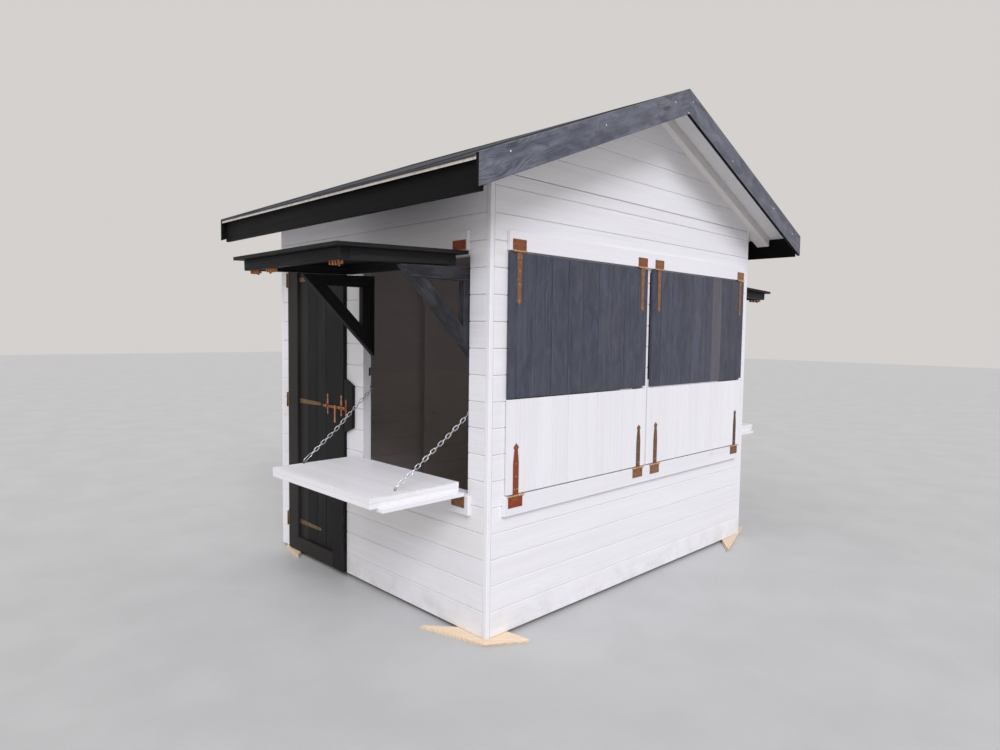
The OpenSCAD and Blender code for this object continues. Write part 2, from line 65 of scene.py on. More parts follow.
# ------------------------------------------------------------------ node helpers
class NT:
    """Small helper round a material's node tree."""

    def __init__(self, name):
        self.m = bpy.data.materials.new(name)
        self.m.use_nodes = True
        self.t = self.m.node_tree
        self.t.nodes.clear()
        self.out = self.t.nodes.new("ShaderNodeOutputMaterial")
        self.b = self.t.nodes.new("ShaderNodeBsdfPrincipled")
        self.t.links.new(self.b.outputs[0], self.out.inputs[0])

    def put(self, socket, v):
        if isinstance(v, bpy.types.NodeSocket):
            self.t.links.new(v, socket)
        else:
            socket.default_value = v

    def attr(self, name, kind="Vector"):
        n = self.t.nodes.new("ShaderNodeAttribute")
        n.attribute_name = name
        return n.outputs[kind]

    def pos(self):
        return self.t.nodes.new("ShaderNodeNewGeometry").outputs["Position"]

    def normal(self):
        return self.t.nodes.new("ShaderNodeNewGeometry").outputs["Normal"]

    def math(self, op, a, b=0.0, c=0.0, clamp=False):
        n = self.t.nodes.new("ShaderNodeMath")
        n.operation = op
        n.use_clamp = clamp
        self.put(n.inputs[0], a)
        self.put(n.inputs[1], b)
        self.put(n.inputs[2], c)
        return n.outputs[0]

    def vmath(self, op, a, b=(0, 0, 0)):
        n = self.t.nodes.new("ShaderNodeVectorMath")
        n.operation = op
        self.put(n.inputs[0], a)
        self.put(n.inputs[1], b)
        return n.outputs[0]

    def sep(self, v):
        n = self.t.nodes.new("ShaderNodeSeparateXYZ")
        self.put(n.inputs[0], v)
        return n.outputs

    def comb(self, x, y, z):
        n = self.t.nodes.new("ShaderNodeCombineXYZ")
        for i, v in enumerate((x, y, z)):
            self.put(n.inputs[i], v)
        return n.outputs[0]

    def noise(self, v, scale=1.0, detail=3.0, rough=0.5, dist=0.0):
        n = self.t.nodes.new("ShaderNodeTexNoise")
        self.put(n.inputs["Vector"], v)
        n.inputs["Scale"].default_value = scale
        n.inputs["Detail"].default_value = detail
        n.inputs["Roughness"].default_value = rough
        n.inputs["Distortion"].default_value = dist
        return n.outputs[0]

    def voronoi(self, v, scale=1.0, feature="F1", rand=1.0):
        n = self.t.nodes.new("ShaderNodeTexVoronoi")
        n.feature = feature
        self.put(n.inputs["Vector"], v)
        n.inputs["Scale"].default_value = scale
        n.inputs["Randomness"].default_value = rand
        return n

    def ramp(self, v, lo, hi, a=0.0, b=1.0, smooth=True):
        n = self.t.nodes.new("ShaderNodeMapRange")
        n.interpolation_type = "SMOOTHSTEP" if smooth else "LINEAR"
        self.put(n.inputs["Value"], v)
        n.inputs["From Min"].default_value = lo
        n.inputs["From Max"].default_value = hi
        n.inputs["To Min"].default_value = a
        n.inputs["To Max"].default_value = b
        return n.outputs[0]

    def mix(self, f, a, b):
        n = self.t.nodes.new("ShaderNodeMix")
        n.data_type = "RGBA"
        self.put(n.inputs[0], f)
        for s, v in ((n.inputs[6], a), (n.inputs[7], b)):
            if isinstance(v, bpy.types.NodeSocket):
                self.t.links.new(v, s)
            else:
                s.default_value = (v[0], v[1], v[2], 1.0)
        return n.outputs[2]

    def bump(self, h, strength=0.3, dist=0.001, normal=None):
        n = self.t.nodes.new("ShaderNodeBump")
        n.inputs["Strength"].default_value = strength
        n.inputs["Distance"].default_value = dist
        self.put(n.inputs["Height"], h)
        if normal is not None:
            self.put(n.inputs["Normal"], normal)
        return n.outputs[0]

    def done(self, color=None, rough=None, metal=0.0, normal=None, spec=0.5):
        if color is not None:
            if isinstance(color, bpy.types.NodeSocket):
                self.t.links.new(color, self.b.inputs["Base Color"])
            else:
                self.b.inputs["Base Color"].default_value = (*color, 1.0)
        if rough is not None:
            self.put(self.b.inputs["Roughness"], rough)
        self.put(self.b.inputs["Metallic"], metal)
        self.b.inputs["Specular IOR Level"].default_value = spec
        if normal is not None:
            self.t.links.new(normal, self.b.inputs["Normal"])
        return self.m


def wood_fields(k, ring=0.012, knot_scale=1.0):
    """Grain fields of a plank from its own coordinates: x runs along the fibres, y across the
    face and z into the board. Returns fibres, year rings, knots, blotches and the plank's tone."""
    gc = k.attr("gc")
    tone = k.attr("tone", "Fac")
    s = k.sep(gc)

    def stretched(a, b, scale=1.0, detail=3.0, rough=0.55, dist=0.0):
        return k.noise(k.comb(k.math("MULTIPLY", s[0], a), k.math("MULTIPLY", s[1], b), k.math("MULTIPLY", s[2], b)), scale, detail, rough, dist)

    # knots: stretched cells, of which only some hold a knot
    vk = k.comb(k.math("MULTIPLY", s[0], 1.5 * knot_scale), k.math("MULTIPLY", s[1], 5.5 * knot_scale),
                k.math("MULTIPLY", s[2], 5.0 * knot_scale))
    vo = k.voronoi(vk, 1.0)
    some = k.ramp(k.sep(vo.outputs["Color"])[0], 0.60, 0.64)
    d = vo.outputs["Distance"]
    swell = k.math("MULTIPLY", k.ramp(d, 0.0, 0.45, 1.0, 0.0), some)
    knot = k.math("MULTIPLY", k.ramp(d, 0.040, 0.085, 1.0, 0.0), some)
    # year rings: level lines of slow noise, drawn out along the board, which open and close as
    # flat-sawn figure does; they wander, bend round the knots and fade away between them
    slow = stretched(0.9, 6.0, 1.0, 1.5, 0.45)
    wander = stretched(3.5, 30.0, 1.0, 2.0, 0.5)
    r = k.math("ADD", s[1], k.math("MULTIPLY", s[2], 0.6))
    r = k.math("ADD", r, k.math("MULTIPLY", k.math("SUBTRACT", slow, 0.5), 0.19))
    r = k.math("ADD", r, k.math("MULTIPLY", k.math("SUBTRACT", wander, 0.5), ring * 1.1))
    r = k.math("ADD", r, k.math("MULTIPLY", swell, 0.055))
    wave = k.ramp(k.math("SINE", k.math("MULTIPLY", r, 2 * math.pi / ring)), -0.7, 1.0)
    there = k.ramp(stretched(0.8, 11.0, 1.0, 2.0, 0.5), 0.40, 0.68)
    amp = k.math("MAXIMUM", k.math("ADD", k.math("MULTIPLY", there, 0.55), 0.12), k.math("MULTIPLY", swell, 1.3), clamp=True)
    rings = k.math("ADD", k.math("MULTIPLY", k.math("SUBTRACT", wave, 0.5), amp), 0.5)
    fine = stretched(5.0, 420.0, 1.0, 3.0, 0.6)
    mid = k.math("ADD", k.math("MULTIPLY", stretched(1.4, 75.0), 0.5), k.math("MULTIPLY", stretched(0.8, 24.0), 0.5))
    blotch = stretched(2.2, 9.0)
    cloud = stretched(7.0, 17.0, 1.0, 4.0, 0.62, 0.9)
    return dict(gc=gc, tone=tone, s=s, knot=knot, rings=rings, fine=fine, mid=mid, blotch=blotch, swell=swell, cloud=cloud)


def wood_paint(name, light, dark, warm, ring_amt=0.3, knot_col=None, knot_amt=0.5, rough=(0.45, 0.65), tone_amt=0.2,
               bump=0.25, dirt=None, ring=0.012, fine_amt=0.25, spec=0.5, knot_scale=1.0, blotch_amt=0.35, cloud_amt=0.0,
               contrast=(0.30, 0.70)):
    """Stain or paint on boards: light and dark are the two ends of the grain, warm is the wood
    that shows through where the coat is thin."""
    k = NT(name)
    w = wood_fields(k, ring, knot_scale)
    f = k.math("ADD", k.math("MULTIPLY", w["rings"], ring_amt), k.math("MULTIPLY", w["mid"], 1.0 - ring_amt))
    f = k.math("ADD", k.math("MULTIPLY", f, 1.0 - fine_amt), k.math("MULTIPLY", w["fine"], fine_amt))
    if cloud_amt:
        f = k.math("ADD", k.math("MULTIPLY", f, 1.0 - cloud_amt), k.math("MULTIPLY", w["cloud"], cloud_amt))
    f = k.ramp(f, contrast[0], contrast[1])
    col = k.mix(f, dark, light)
    thin = k.math("MULTIPLY", k.ramp(w["blotch"], 0.48, 0.78), blotch_amt)
    thin = k.math("MAXIMUM", thin, k.math("MULTIPLY", k.ramp(w["tone"], 0.90, 0.95), min(0.75, blotch_amt * 1.6)))
    col = k.mix(thin, col, warm)
    shade = k.math("ADD", k.math("MULTIPLY", k.math("SUBTRACT", w["tone"], 0.5), tone_amt), 1.0)
    col = k.vmath("MULTIPLY", col, k.comb(shade, shade, shade))
    if knot_col is not None:
        col = k.mix(k.math("MULTIPLY", w["knot"], knot_amt), col, knot_col)
    if dirt is not None:
        # splash and dust near the floor, fading upwards
        p = k.sep(k.pos())
        low = k.ramp(p[2], 0.02, 0.30, 1.0, 0.0)
        n = k.noise(k.pos(), 9.0, 4.0, 0.6)
        amt = k.math("MULTIPLY", k.math("MULTIPLY", low, low), k.ramp(n, 0.35, 0.75))
        col = k.mix(k.math("MULTIPLY", amt, 0.35), col, dirt)
    r = k.ramp(w["mid"], 0.3, 0.7, rough[0], rough[1])
    h = k.math("ADD", k.math("MULTIPLY", w["fine"], 0.6), k.math("ADD", k.math("MULTIPLY", w["rings"], 0.3), k.math("MULTIPLY", w["mid"], 0.5)))
    h = k.math("ADD", h, k.math("MULTIPLY", w["knot"], -0.5))
    return k.done(col, r, 0.0, k.bump(h, bump, 0.0012), spec)


MAT = {}
MAT["white"] = wood_paint("white_stained_boards", (0.850, 0.838, 0.868), (0.775, 0.762, 0.790), (0.745, 0.720, 0.685), 0.14,
                          (0.55, 0.47, 0.40), 0.30, (0.42, 0.60), 0.05, 0.30, (0.46, 0.43, 0.40), blotch_amt=0.20, spec=0.35)
MAT["inside"] = wood_paint("board_backs", (0.770, 0.695, 0.675), (0.680, 0.610, 0.590), (0.64, 0.565, 0.535), 0.30,
                           (0.20, 0.15, 0.12), 0.4, (0.6, 0.8), 0.06, 0.30, spec=0.25)
MAT["black"] = wood_paint("anthracite_stained_boards", (0.082, 0.088, 0.122), (0.036, 0.040, 0.060), (0.125, 0.105, 0.090), 0.16,
                          (0.020, 0.020, 0.024), 0.7, (0.42, 0.62), 0.55, 0.5, None, blotch_amt=0.22, spec=0.35, cloud_amt=0.34,
                          contrast=(0.37, 0.65))
MAT["deepblack"] = wood_paint("black_stained_timber", (0.0235, 0.0222, 0.0245), (0.0070, 0.0066, 0.0074), (0.031, 0.027, 0.0245), 0.30,
                              (0.006, 0.006, 0.006), 0.6, (0.42, 0.62), 0.35, 0.40, None, blotch_amt=0.35, spec=0.13,
                             contrast=(0.37, 0.66))
# lighter grey-black for the near bracket only, as painted light: the far bracket, in shade, takes the black stain
MAT["bracket"] = wood_paint("near_bracket_painted_lighter", (0.060, 0.060, 0.074), (0.012, 0.012, 0.015), (0.034, 0.030, 0.029), 0.30,
                            (0.008, 0.008, 0.009), 0.7, (0.42, 0.62), 0.35, 0.40, None, blotch_amt=0.35, spec=0.22, cloud_amt=0.40,
                            contrast=(0.38, 0.68))
MAT["fascia"] = wood_paint("near_black_fascia", (0.0080, 0.0073, 0.0077), (0.0036, 0.0033, 0.0035), (0.0100, 0.0090, 0.0086), 0.30,
                           (0.004, 0.004, 0.004), 0.5, (0.50, 0.68), 0.30, 0.30, None, blotch_amt=0.35, spec=0.10)
MAT["barge"] = wood_paint("anthracite_bargeboard", (0.190, 0.198, 0.242), (0.058, 0.063, 0.088), (0.150, 0.156, 0.180), 0.24,
                          (0.040, 0.044, 0.062), 0.75, (0.38, 0.55), 0.15, 0.30, None, ring=0.010, fine_amt=0.12, knot_scale=0.95,
                          spec=0.35, cloud_amt=0.46, contrast=(0.35, 0.68))
MAT["raw"] = wood_paint("raw_spruce_timber", (0.46, 0.35, 0.25), (0.30, 0.215, 0.145), (0.36, 0.27, 0.20), 0.5,
                        (0.16, 0.085, 0.045), 0.85, (0.55, 0.75), 0.25, 0.5, spec=0.3)
MAT["rawdark"] = wood_paint("aged_floor_boards", (0.300, 0.255, 0.215), (0.190, 0.158, 0.130), (0.240, 0.200, 0.170), 0.45,
                            (0.10, 0.065, 0.045), 0.7, (0.6, 0.8), 0.20, 0.5, spec=0.25)
MAT["grey"] = wood_paint("thin_white_rafters", (0.860, 0.820, 0.805), (0.770, 0.725, 0.705), (0.78, 0.715, 0.68), 0.28,
                         (0.40, 0.31, 0.26), 0.5, (0.5, 0.7), 0.10, 0.45, ring=0.010, spec=0.3)
MAT["soffit"] = wood_paint("white_soffit_boards", (0.860, 0.858, 0.868), (0.780, 0.778, 0.788), (0.78, 0.765, 0.75), 0.20,
                           (0.50, 0.44, 0.38), 0.35, (0.45, 0.65), 0.08, 0.40, spec=0.3)
MAT["pine"] = wood_paint("pine_offcuts", (0.84, 0.69, 0.53), (0.68, 0.52, 0.36), (0.76, 0.60, 0.44), 0.55,
                         (0.35, 0.19, 0.10), 0.85, (0.5, 0.65), 0.15, 0.5, spec=0.3)


def metal_mat(name, a, b, c, rough=(0.35, 0.7), metal=0.6, scale=55.0, spec=0.5, bump=0.3):
    """Worn metal: a is the coat, b the worn or rusty colour, c the dark of its hollows."""
    k = NT(name)
    p = k.pos()
    n1 = k.noise(p, scale, 5.0, 0.65, 0.4)
    n2 = k.noise(p, scale * 6.0, 3.0, 0.6)
    tone = k.attr("tone", "Fac")
    f = k.ramp(k.math("ADD", n1, k.math("MULTIPLY", k.math("SUBTRACT", tone, 0.5), 0.3)), 0.38, 0.66)
    col = k.mix(f, a, b)
    col = k.mix(k.math("MULTIPLY", k.ramp(n2, 0.52, 0.72), 0.55), col, c)
    return k.done(col, k.ramp(n1, 0.3, 0.7, rough[0], rough[1]), metal, k.bump(n2, bump, 0.0006), spec)


MAT["rust"] = metal_mat("brown_hinge_straps", (0.205, 0.098, 0.050), (0.315, 0.150, 0.075), (0.085, 0.040, 0.022), (0.40, 0.62), 0.30, spec=0.35)
MAT["plate"] = metal_mat("rusty_brown_plates", (0.330, 0.062, 0.024), (0.240, 0.095, 0.042), (0.052, 0.022, 0.013), (0.42, 0.65), 0.25, 27.0, 0.35)
MAT["twotone"] = metal_mat("red_and_copper_plate", (0.290, 0.045, 0.018), (0.300, 0.150, 0.068), (0.060, 0.026, 0.014), (0.42, 0.62), 0.25, 19.0, 0.35)
MAT["wornscrew"] = metal_mat("worn_screw_heads", (0.520, 0.290, 0.170), (0.400, 0.190, 0.100), (0.10, 0.045, 0.025), (0.3, 0.5), 0.4, 300.0, 0.4, 0.1)
MAT["redrust"] = metal_mat("red_rust_plates", (0.300, 0.058, 0.022), (0.235, 0.060, 0.026), (0.110, 0.032, 0.015), (0.45, 0.65), 0.20, spec=0.35)
MAT["olive"] = metal_mat("dark_olive_straps", (0.105, 0.064, 0.032), (0.190, 0.105, 0.050), (0.045, 0.028, 0.015), (0.40, 0.60), 0.35, spec=0.35)
# bright barrel colour: partly wear, partly painted highlight
MAT["barrel"] = metal_mat("worn_barrels_painted_highlight", (0.560, 0.290, 0.150), (0.700, 0.430, 0.260), (0.190, 0.075, 0.038), (0.30, 0.50), 0.35, spec=0.45)
MAT["brass"] = metal_mat("dull_yellow_zinc", (0.235, 0.150, 0.065), (0.150, 0.098, 0.048), (0.055, 0.038, 0.022), (0.34, 0.55), 0.5, spec=0.4)
MAT["copper"] = metal_mat("coppered_latch", (0.52, 0.235, 0.115), (0.36, 0.145, 0.070), (0.11, 0.042, 0.022), (0.26, 0.46), 0.7, 70.0)
MAT["chain"] = metal_mat("bright_zinc", (0.74, 0.75, 0.77), (0.56, 0.57, 0.60), (0.28, 0.29, 0.31), (0.18, 0.36), 0.85, 90.0, 0.5, 0.12)
MAT["screw"] = metal_mat("zinc_screw_heads", (0.90, 0.90, 0.90), (0.70, 0.69, 0.67), (0.30, 0.28, 0.26), (0.25, 0.45), 0.35, 300.0, 0.5, 0.1)
MAT["darkscrew"] = metal_mat("rusty_screw_heads", (0.085, 0.038, 0.020), (0.150, 0.065, 0.030), (0.02, 0.014, 0.010), (0.4, 0.6), 0.4, 300.0, 0.4, 0.1)
MAT["nail"] = metal_mat("dark_nail_heads", (0.110, 0.090, 0.080), (0.070, 0.055, 0.050), (0.03, 0.025, 0.02), (0.5, 0.7), 0.3, 300.0, 0.3, 0.1)
MAT["blackiron"] = metal_mat("black_catch", (0.016, 0.015, 0.016), (0.030, 0.027, 0.026), (0.008, 0.008, 0.008), (0.35, 0.55), 0.4, 200.0, 0.4, 0.1)


def felt_mat():
    k = NT("slate_felt")
    p = k.pos()
    g = k.noise(p, 900.0, 2.0, 0.7)
    b = k.noise(p, 3.5, 4.0, 0.6)
    c = k.noise(p, 260.0, 2.0, 0.5)
    col = k.mix(k.ramp(g, 0.35, 0.65), (0.022, 0.024, 0.029), (0.085, 0.090, 0.104))
    col = k.mix(k.math("MULTIPLY", k.ramp(b, 0.45, 0.75), 0.35), col, (0.075, 0.078, 0.082))
    return k.done(col, k.ramp(c, 0.3, 0.7, 0.75, 0.95), 0.0, k.bump(g, 0.6, 0.0015), 0.22)


def edge_mat():
    """Sawn edge of the roof boards under the felt, coloured grey as painted shade."""
    k = NT("deck_edge_painted_shade")
    n = k.noise(k.pos(), 30.0, 4.0, 0.6)
    col = k.mix(k.ramp(n, 0.4, 0.7), (0.66, 0.61, 0.56), (0.52, 0.475, 0.43))
    return k.done(col, k.ramp(n, 0.3, 0.7, 0.35, 0.55), 0.1, k.bump(n, 0.1, 0.0008))


MAT["felt"] = felt_mat()
MAT["edge"] = edge_mat()


# ------------------------------------------------------------------ mesh building
class Piece:
    """One visible piece: solids collected into one mesh, with plank coordinates and a tone for each."""

    def __init__(self, name, seed=1):
        self.name = name
        self.v, self.f, self.mi, self.g, self.t, self.s = [], [], [], [], [], []
        self.mats = []
        self.rng = random.Random(seed * 7919 + len(name))
        self.count = 0

    def mat(self, key):
        if key not in self.mats:
            self.mats.append(key)
        return self.mats.index(key)

    def add(self, verts, faces, key, gc=None, tone=None, smooth=False, keys=None):
        n0 = self.count
        verts = np.asarray(verts, float)
        self.v.append(verts)
        if gc is None:
            gc = verts + np.array([self.rng.uniform(-9, 9) for _ in range(3)])
        self.g.append(np.asarray(gc, float))
        t = self.rng.random() if tone is None else tone
        self.t.append(np.full(len(verts), t))
        m = self.mat(key)
        for i, f in enumerate(faces):
            self.f.append([n0 + j for j in f])
            self.mi.append(m if keys is None or keys[i] is None else self.mat(keys[i]))
            self.s.append(smooth)
        self.count += len(verts)

    def make(self, body, replaces=(), turn=None):
        v = np.concatenate(self.v)
        if turn is not None:
            v = (np.c_[v, np.ones(len(v))] @ np.array(turn).T)[:, :3]
        me = bpy.data.meshes.new(self.name)
        me.from_pydata(v.tolist(), [], self.f)
        me.update()
        for key in self.mats:
            me.materials.append(MAT[key])
        me.polygons.foreach_set("material_index", np.array(self.mi, np.int32))
        me.polygons.foreach_set("use_smooth", np.array(self.s, bool))
        a = me.attributes.new("gc", "FLOAT_VECTOR", "POINT")
        a.data.foreach_set("vector", np.concatenate(self.g).astype(np.float32).ravel())
        a = me.attributes.new("tone", "FLOAT", "POINT")
        a.data.foreach_set("value", np.concatenate(self.t).astype(np.float32))
        me.update()
        ob = bpy.data.objects.new(self.name, me)
        bpy.context.scene.collection.objects.link(ob)
        if turn is not None and np.linalg.det(np.array(turn)[:3, :3]) < 0:
            me.flip_normals()
        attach(ob, body)
        if replaces:
            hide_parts(*replaces)
        return ob


def area2(p):
    return sum(p[i][0] * p[(i + 1) % len(p)][1] - p[(i + 1) % len(p)][0] * p[i][1] for i in range(len(p)))


def inset(p, d):
    """Polygon with each side moved inwards by d; p runs anticlockwise."""
    n = len(p)
    out = []
    for i in range(n):
        a, b, c = np.array(p[i - 1]), np.array(p[i]), np.array(p[(i + 1) % n])
        e1, e2 = b - a, c - b
        e1, e2 = e1 / max(np.linalg.norm(e1), 1e-9), e2 / max(np.linalg.norm(e2), 1e-9)
        n1, n2 = np.array([-e1[1], e1[0]]), np.array([-e2[1], e2[0]])
        m = (n1 + n2) / max(1.0 + float(n1 @ n2), 0.35)
        out.append(tuple(b + m * d))
    return out


def prism(P, O, X, Y, Z, prof, x0, x1, key, k0=0.0, k1=0.0, bev=0.0012, tone=None, n=1, grain=None, bow=None, smooth=False, other=None):
    """Extrudes prof, a list of (y, z), along X from x0 to x1, with small bevels at both ends.
    k0 and k1 slant the ends by y. grain gives the plank's axes where they aren't X, Y, Z.
    other(ny, nz) names another material for sides with that outward direction, other(None, None) for the ends."""
    O, X, Y, Z = (np.asarray(a, float) for a in (O, X, Y, Z))
    p = list(prof)
    if area2(p) < 0:
        p.reverse()
    small = inset(p, bev) if bev > 0 else p
    L = x1 - x0
    xs = [0.0, bev] if bev > 0 else [0.0]
    xs += [bev + (L - 2 * bev) * i / n for i in range(1, n)]
    xs += [L - bev, L] if bev > 0 else [L]
    rings = []
    gcs = []
    off = np.array([P.rng.uniform(-40, 40), P.rng.uniform(-40, 40), P.rng.uniform(-40, 40)])
    for i, x in enumerate(xs):
        pr = small if bev > 0 and i in (0, len(xs) - 1) else p
        f = x / L
        for (y, z) in pr:
            xx = x0 + x + (k0 * (1 - f) + k1 * f) * y
            zz = z + (bow(xx) if bow else 0.0)
            rings.append(O + X * xx + Y * y + Z * zz)
            gcs.append((xx, y, z))
    V = np.array(rings)
    if grain is None:
        G = np.array(gcs)
    else:
        A, B, C = (np.asarray(a, float) for a in grain)
        G = np.stack([V @ A, V @ B, V @ C], 1)
    m = len(p)
    faces = []
    keys = [] if other else None
    for i in range(len(xs) - 1):
        for j in range(m):
            a, b = i * m + j, i * m + (j + 1) % m
            c, d = a + m, b + m
            faces.append([a, c, d, b])
            if other:
                ey, ez = p[(j + 1) % m][0] - p[j][0], p[(j + 1) % m][1] - p[j][1]
                el = max(math.hypot(ey, ez), 1e-9)
                keys.append(other(ez / el, -ey / el))
    if other:
        keys += [other(None, None)] * 2
    faces.append(list(range(m)))
    faces.append(list(reversed(range((len(xs) - 1) * m, len(xs) * m))))
    det = np.linalg.det(np.stack([X, Y, Z], 1))
    # anticlockwise in (Y, Z) seen from +X: side quads a,c,d,b face outwards for a left-handed frame
    if det > 0:
        faces = [list(reversed(f)) for f in faces]
    P.add(V, faces, key, G + off, tone, smooth, keys)


def board_profile(y0, y1, t, lo=True, hi=True, c=0.0034, gap=0.0007):
    """Tongue-and-groove board seen from its end: front face at z=0, back at -t. lo and hi say
    which edges are chamfered joints; the others are cut square."""
    p = []
    if lo:
        p += [(y0 + gap, -t), (y0 + gap, -c), (y0 + gap + c, 0.0)]
    else:
        p += [(y0, -t), (y0, -0.0008), (y0 + 0.0008, 0.0)]
    if hi:
        p += [(y1 - gap - c, 0.0), (y1 - gap, -c), (y1 - gap, -t * 0.45), (y1 + gap - 0.0001, -t * 0.45),
              (y1 + gap - 0.0001, -t * 0.68), (y1 - gap, -t * 0.68), (y1 - gap, -t)]
    else:
        p += [(y1 - 0.0008, 0.0), (y1, -0.0008), (y1, -t)]
    return p


def round_rect(y0, y1, z0, z1, r=0.0015, k=2):
    """Rectangle with rounded corners."""
    pts = []
    for (cy, cz, a0) in ((y1 - r, z1 - r, 0), (y0 + r, z1 - r, 90), (y0 + r, z0 + r, 180), (y1 - r, z0 + r, 270)):
        for i in range(k + 1):
            a = math.radians(a0 + 90 * i / k)
            pts.append((cy + r * math.cos(a), cz + r * math.sin(a)))
    return pts


AX = {"x": ((1, 0, 0), (0, 1, 0), (0, 0, 1)), "y": ((0, 1, 0), (0, 0, 1), (1, 0, 0)), "z": ((0, 0, 1), (1, 0, 0), (0, 1, 0))}


def timber(P, lo, hi, key, axis=None, r=0.002, tone=None, bev=None, n=1):
    """A planed board or beam between two corners, its grain along axis or along its longest side."""
    d = [hi[i] - lo[i] for i in range(3)]
    if axis is None:
        axis = "xyz"[d.index(max(d))]
    X, Y, Z = AX[axis]
    ix = [a.index(1) for a in (X, Y, Z)]
    r = min(r, 0.45 * min(d[ix[1]], d[ix[2]]))
    prof = round_rect(lo[ix[1]], hi[ix[1]], lo[ix[2]], hi[ix[2]], r, 2)
    prism(P, (0, 0, 0), X, Y, Z, prof, lo[ix[0]], hi[ix[0]], key, bev=min(r, 0.0015) if bev is None else bev, tone=tone, n=n)


def slab(P, poly, O, X, Y, Z, t, key, bev=0.0015, grain=None, tone=None, smooth=False):
    """Flat outline poly in X and Y, from 0 to t along Z, with bevelled rims."""
    prism(P, O, Z, X, Y, poly, 0.0, t, key, bev=bev, grain=grain, tone=tone, smooth=smooth)


def back_side(ny, nz):
    return "inside" if nz is not None and nz < -0.9 else None


def wall(P, O, X, Z, lines, spans, cuts, t, key, up=(0, 0, 1), tops=None):
    """Courses of boards between lines, over the span (a0, a1), cut by rectangles
    (a0, a1, y0, y1). tops gives the roof's cut: (apex, slope) measured from the middle."""
    for y0, y1 in zip(lines[:-1], lines[1:]):
        marks = sorted({y0, y1} | {c for r in cuts for c in r[2:] if y0 + 0.004 < c < y1 - 0.004})
        dz = P.rng.uniform(-0.00035, 0.00025)
        tone = P.rng.random()
        off = P.rng.random()
        for b0, b1 in zip(marks[:-1], marks[1:]):
            mid = (b0 + b1) / 2
            parts = [tuple(spans)]
            for (a0, a1, c0, c1) in cuts:
                if c0 < mid < c1:
                    parts = [q for (s0, s1) in parts for q in ((s0, min(s1, a0)), (max(s0, a1), s1)) if q[1] - q[0] > 0.006]
            for (s0, s1) in parts:
                k0 = k1 = 0.0
                x0, x1 = s0, s1
                yy1 = b1
                if tops:
                    apex, sl = tops
                    lim0 = (apex - b0) / sl
                    lim1 = (apex - b1) / sl
                    if lim1 < 0.012:
                        yy1 = apex - 0.012 * sl
                        lim1 = 0.012
                    if lim1 < s1:
                        # x_end(y) = (apex - y) / sl while under the slope
                        x1, k1 = apex / sl, -1.0 / sl
                        x0, k0 = -apex / sl, 1.0 / sl
                        if lim0 > s1 + 1e-6:
                            # the slope starts inside this course: split it there
                            ys = apex - s1 * sl
                            prof = board_profile(b0, ys, t, b0 == y0, False)
                            prism(P, O, X, up, Z, [(y, z + dz) for y, z in prof], s0, s1, key, tone=tone, n=2, other=back_side)
                            prof = board_profile(ys, yy1, t, False, b1 == y1)
                            prism_cut(P, O, X, up, Z, [(y, z + dz) for y, z in prof], apex, sl, key, tone)
                            continue
                        prof = board_profile(b0, yy1, t, b0 == y0, b1 == y1 and yy1 == b1)
                        prism_cut(P, O, X, up, Z, [(y, z + dz) for y, z in prof], apex, sl, key, tone)
                        continue
                prof = board_profile(b0, yy1, t, b0 == y0, b1 == y1)
                prism(P, O, X, up, Z, [(y, z + dz) for y, z in prof], x0, x1, key, tone=tone, n=max(1, int((x1 - x0) / 0.7)), other=back_side)


def prism_cut(P, O, X, Y, Z, prof, apex, sl, key, tone):
    """A board whose two ends follow the roof's slopes."""
    O, X, Y, Z = (np.asarray(a, float) for a in (O, X, Y, Z))
    p = list(prof)
    if area2(p) < 0:
        p.reverse()
    V, G = [], []
    off = np.array([P.rng.uniform(-40, 40) for _ in range(3)])
    m = len(p)
    for s in (-1, 0, 1):
        for (y, z) in p:
            x = s * (apex - y) / sl
            V.append(O + X * x + Y * y + Z * z)
            G.append((x, y, z))
    faces = []
    for i in range(2):
        for j in range(m):
            a, b = i * m + j, i * m + (j + 1) % m
            faces.append([a, a + m, b + m, b])
    faces.append(list(range(m)))
    faces.append(list(reversed(range(2 * m, 3 * m))))
    if np.linalg.det(np.stack([X, Y, Z], 1)) > 0:
        faces = [list(reversed(f)) for f in faces]
    P.add(V, faces, key, np.array(G) + off, tone)


def cyl(P, a, b, r, key, n=16, r2=None, cap=0.0, tone=None, smooth=True):
    """Round bar from a to b with small bevels at its ends."""
    a, b = np.asarray(a, float), np.asarray(b, float)
    d = b - a
    L = np.linalg.norm(d)
    d = d / L
    h = np.array([0, 0, 1.0]) if abs(d[2]) < 0.9 else np.array([1.0, 0, 0])
    u = np.cross(d, h); u /= np.linalg.norm(u)
    w = np.cross(d, u)
    r2 = r if r2 is None else r2
    c = cap if cap > 0 else min(r, r2) * 0.18
    rows = [(0.0, r - c), (c, r), (L - c, r2), (L, r2 - c)]
    V = []
    for (x, rr) in rows:
        for i in range(n):
            t = 2 * math.pi * i / n
            V.append(a + d * x + (u * math.cos(t) + w * math.sin(t)) * rr)
    F = []
    for k in range(3):
        for i in range(n):
            p, q = k * n + i, k * n + (i + 1) % n
            F.append([p, q, q + n, p + n])
    S = [True] * len(F)
    V2 = list(V)
    P.add(V2, F, key, None, tone, smooth)
    P.add([V[i] for i in range(n)], [list(reversed(range(n)))], key, None, tone, False)
    P.add([V[3 * n + i] for i in range(n)], [list(range(n))], key, None, tone, False)


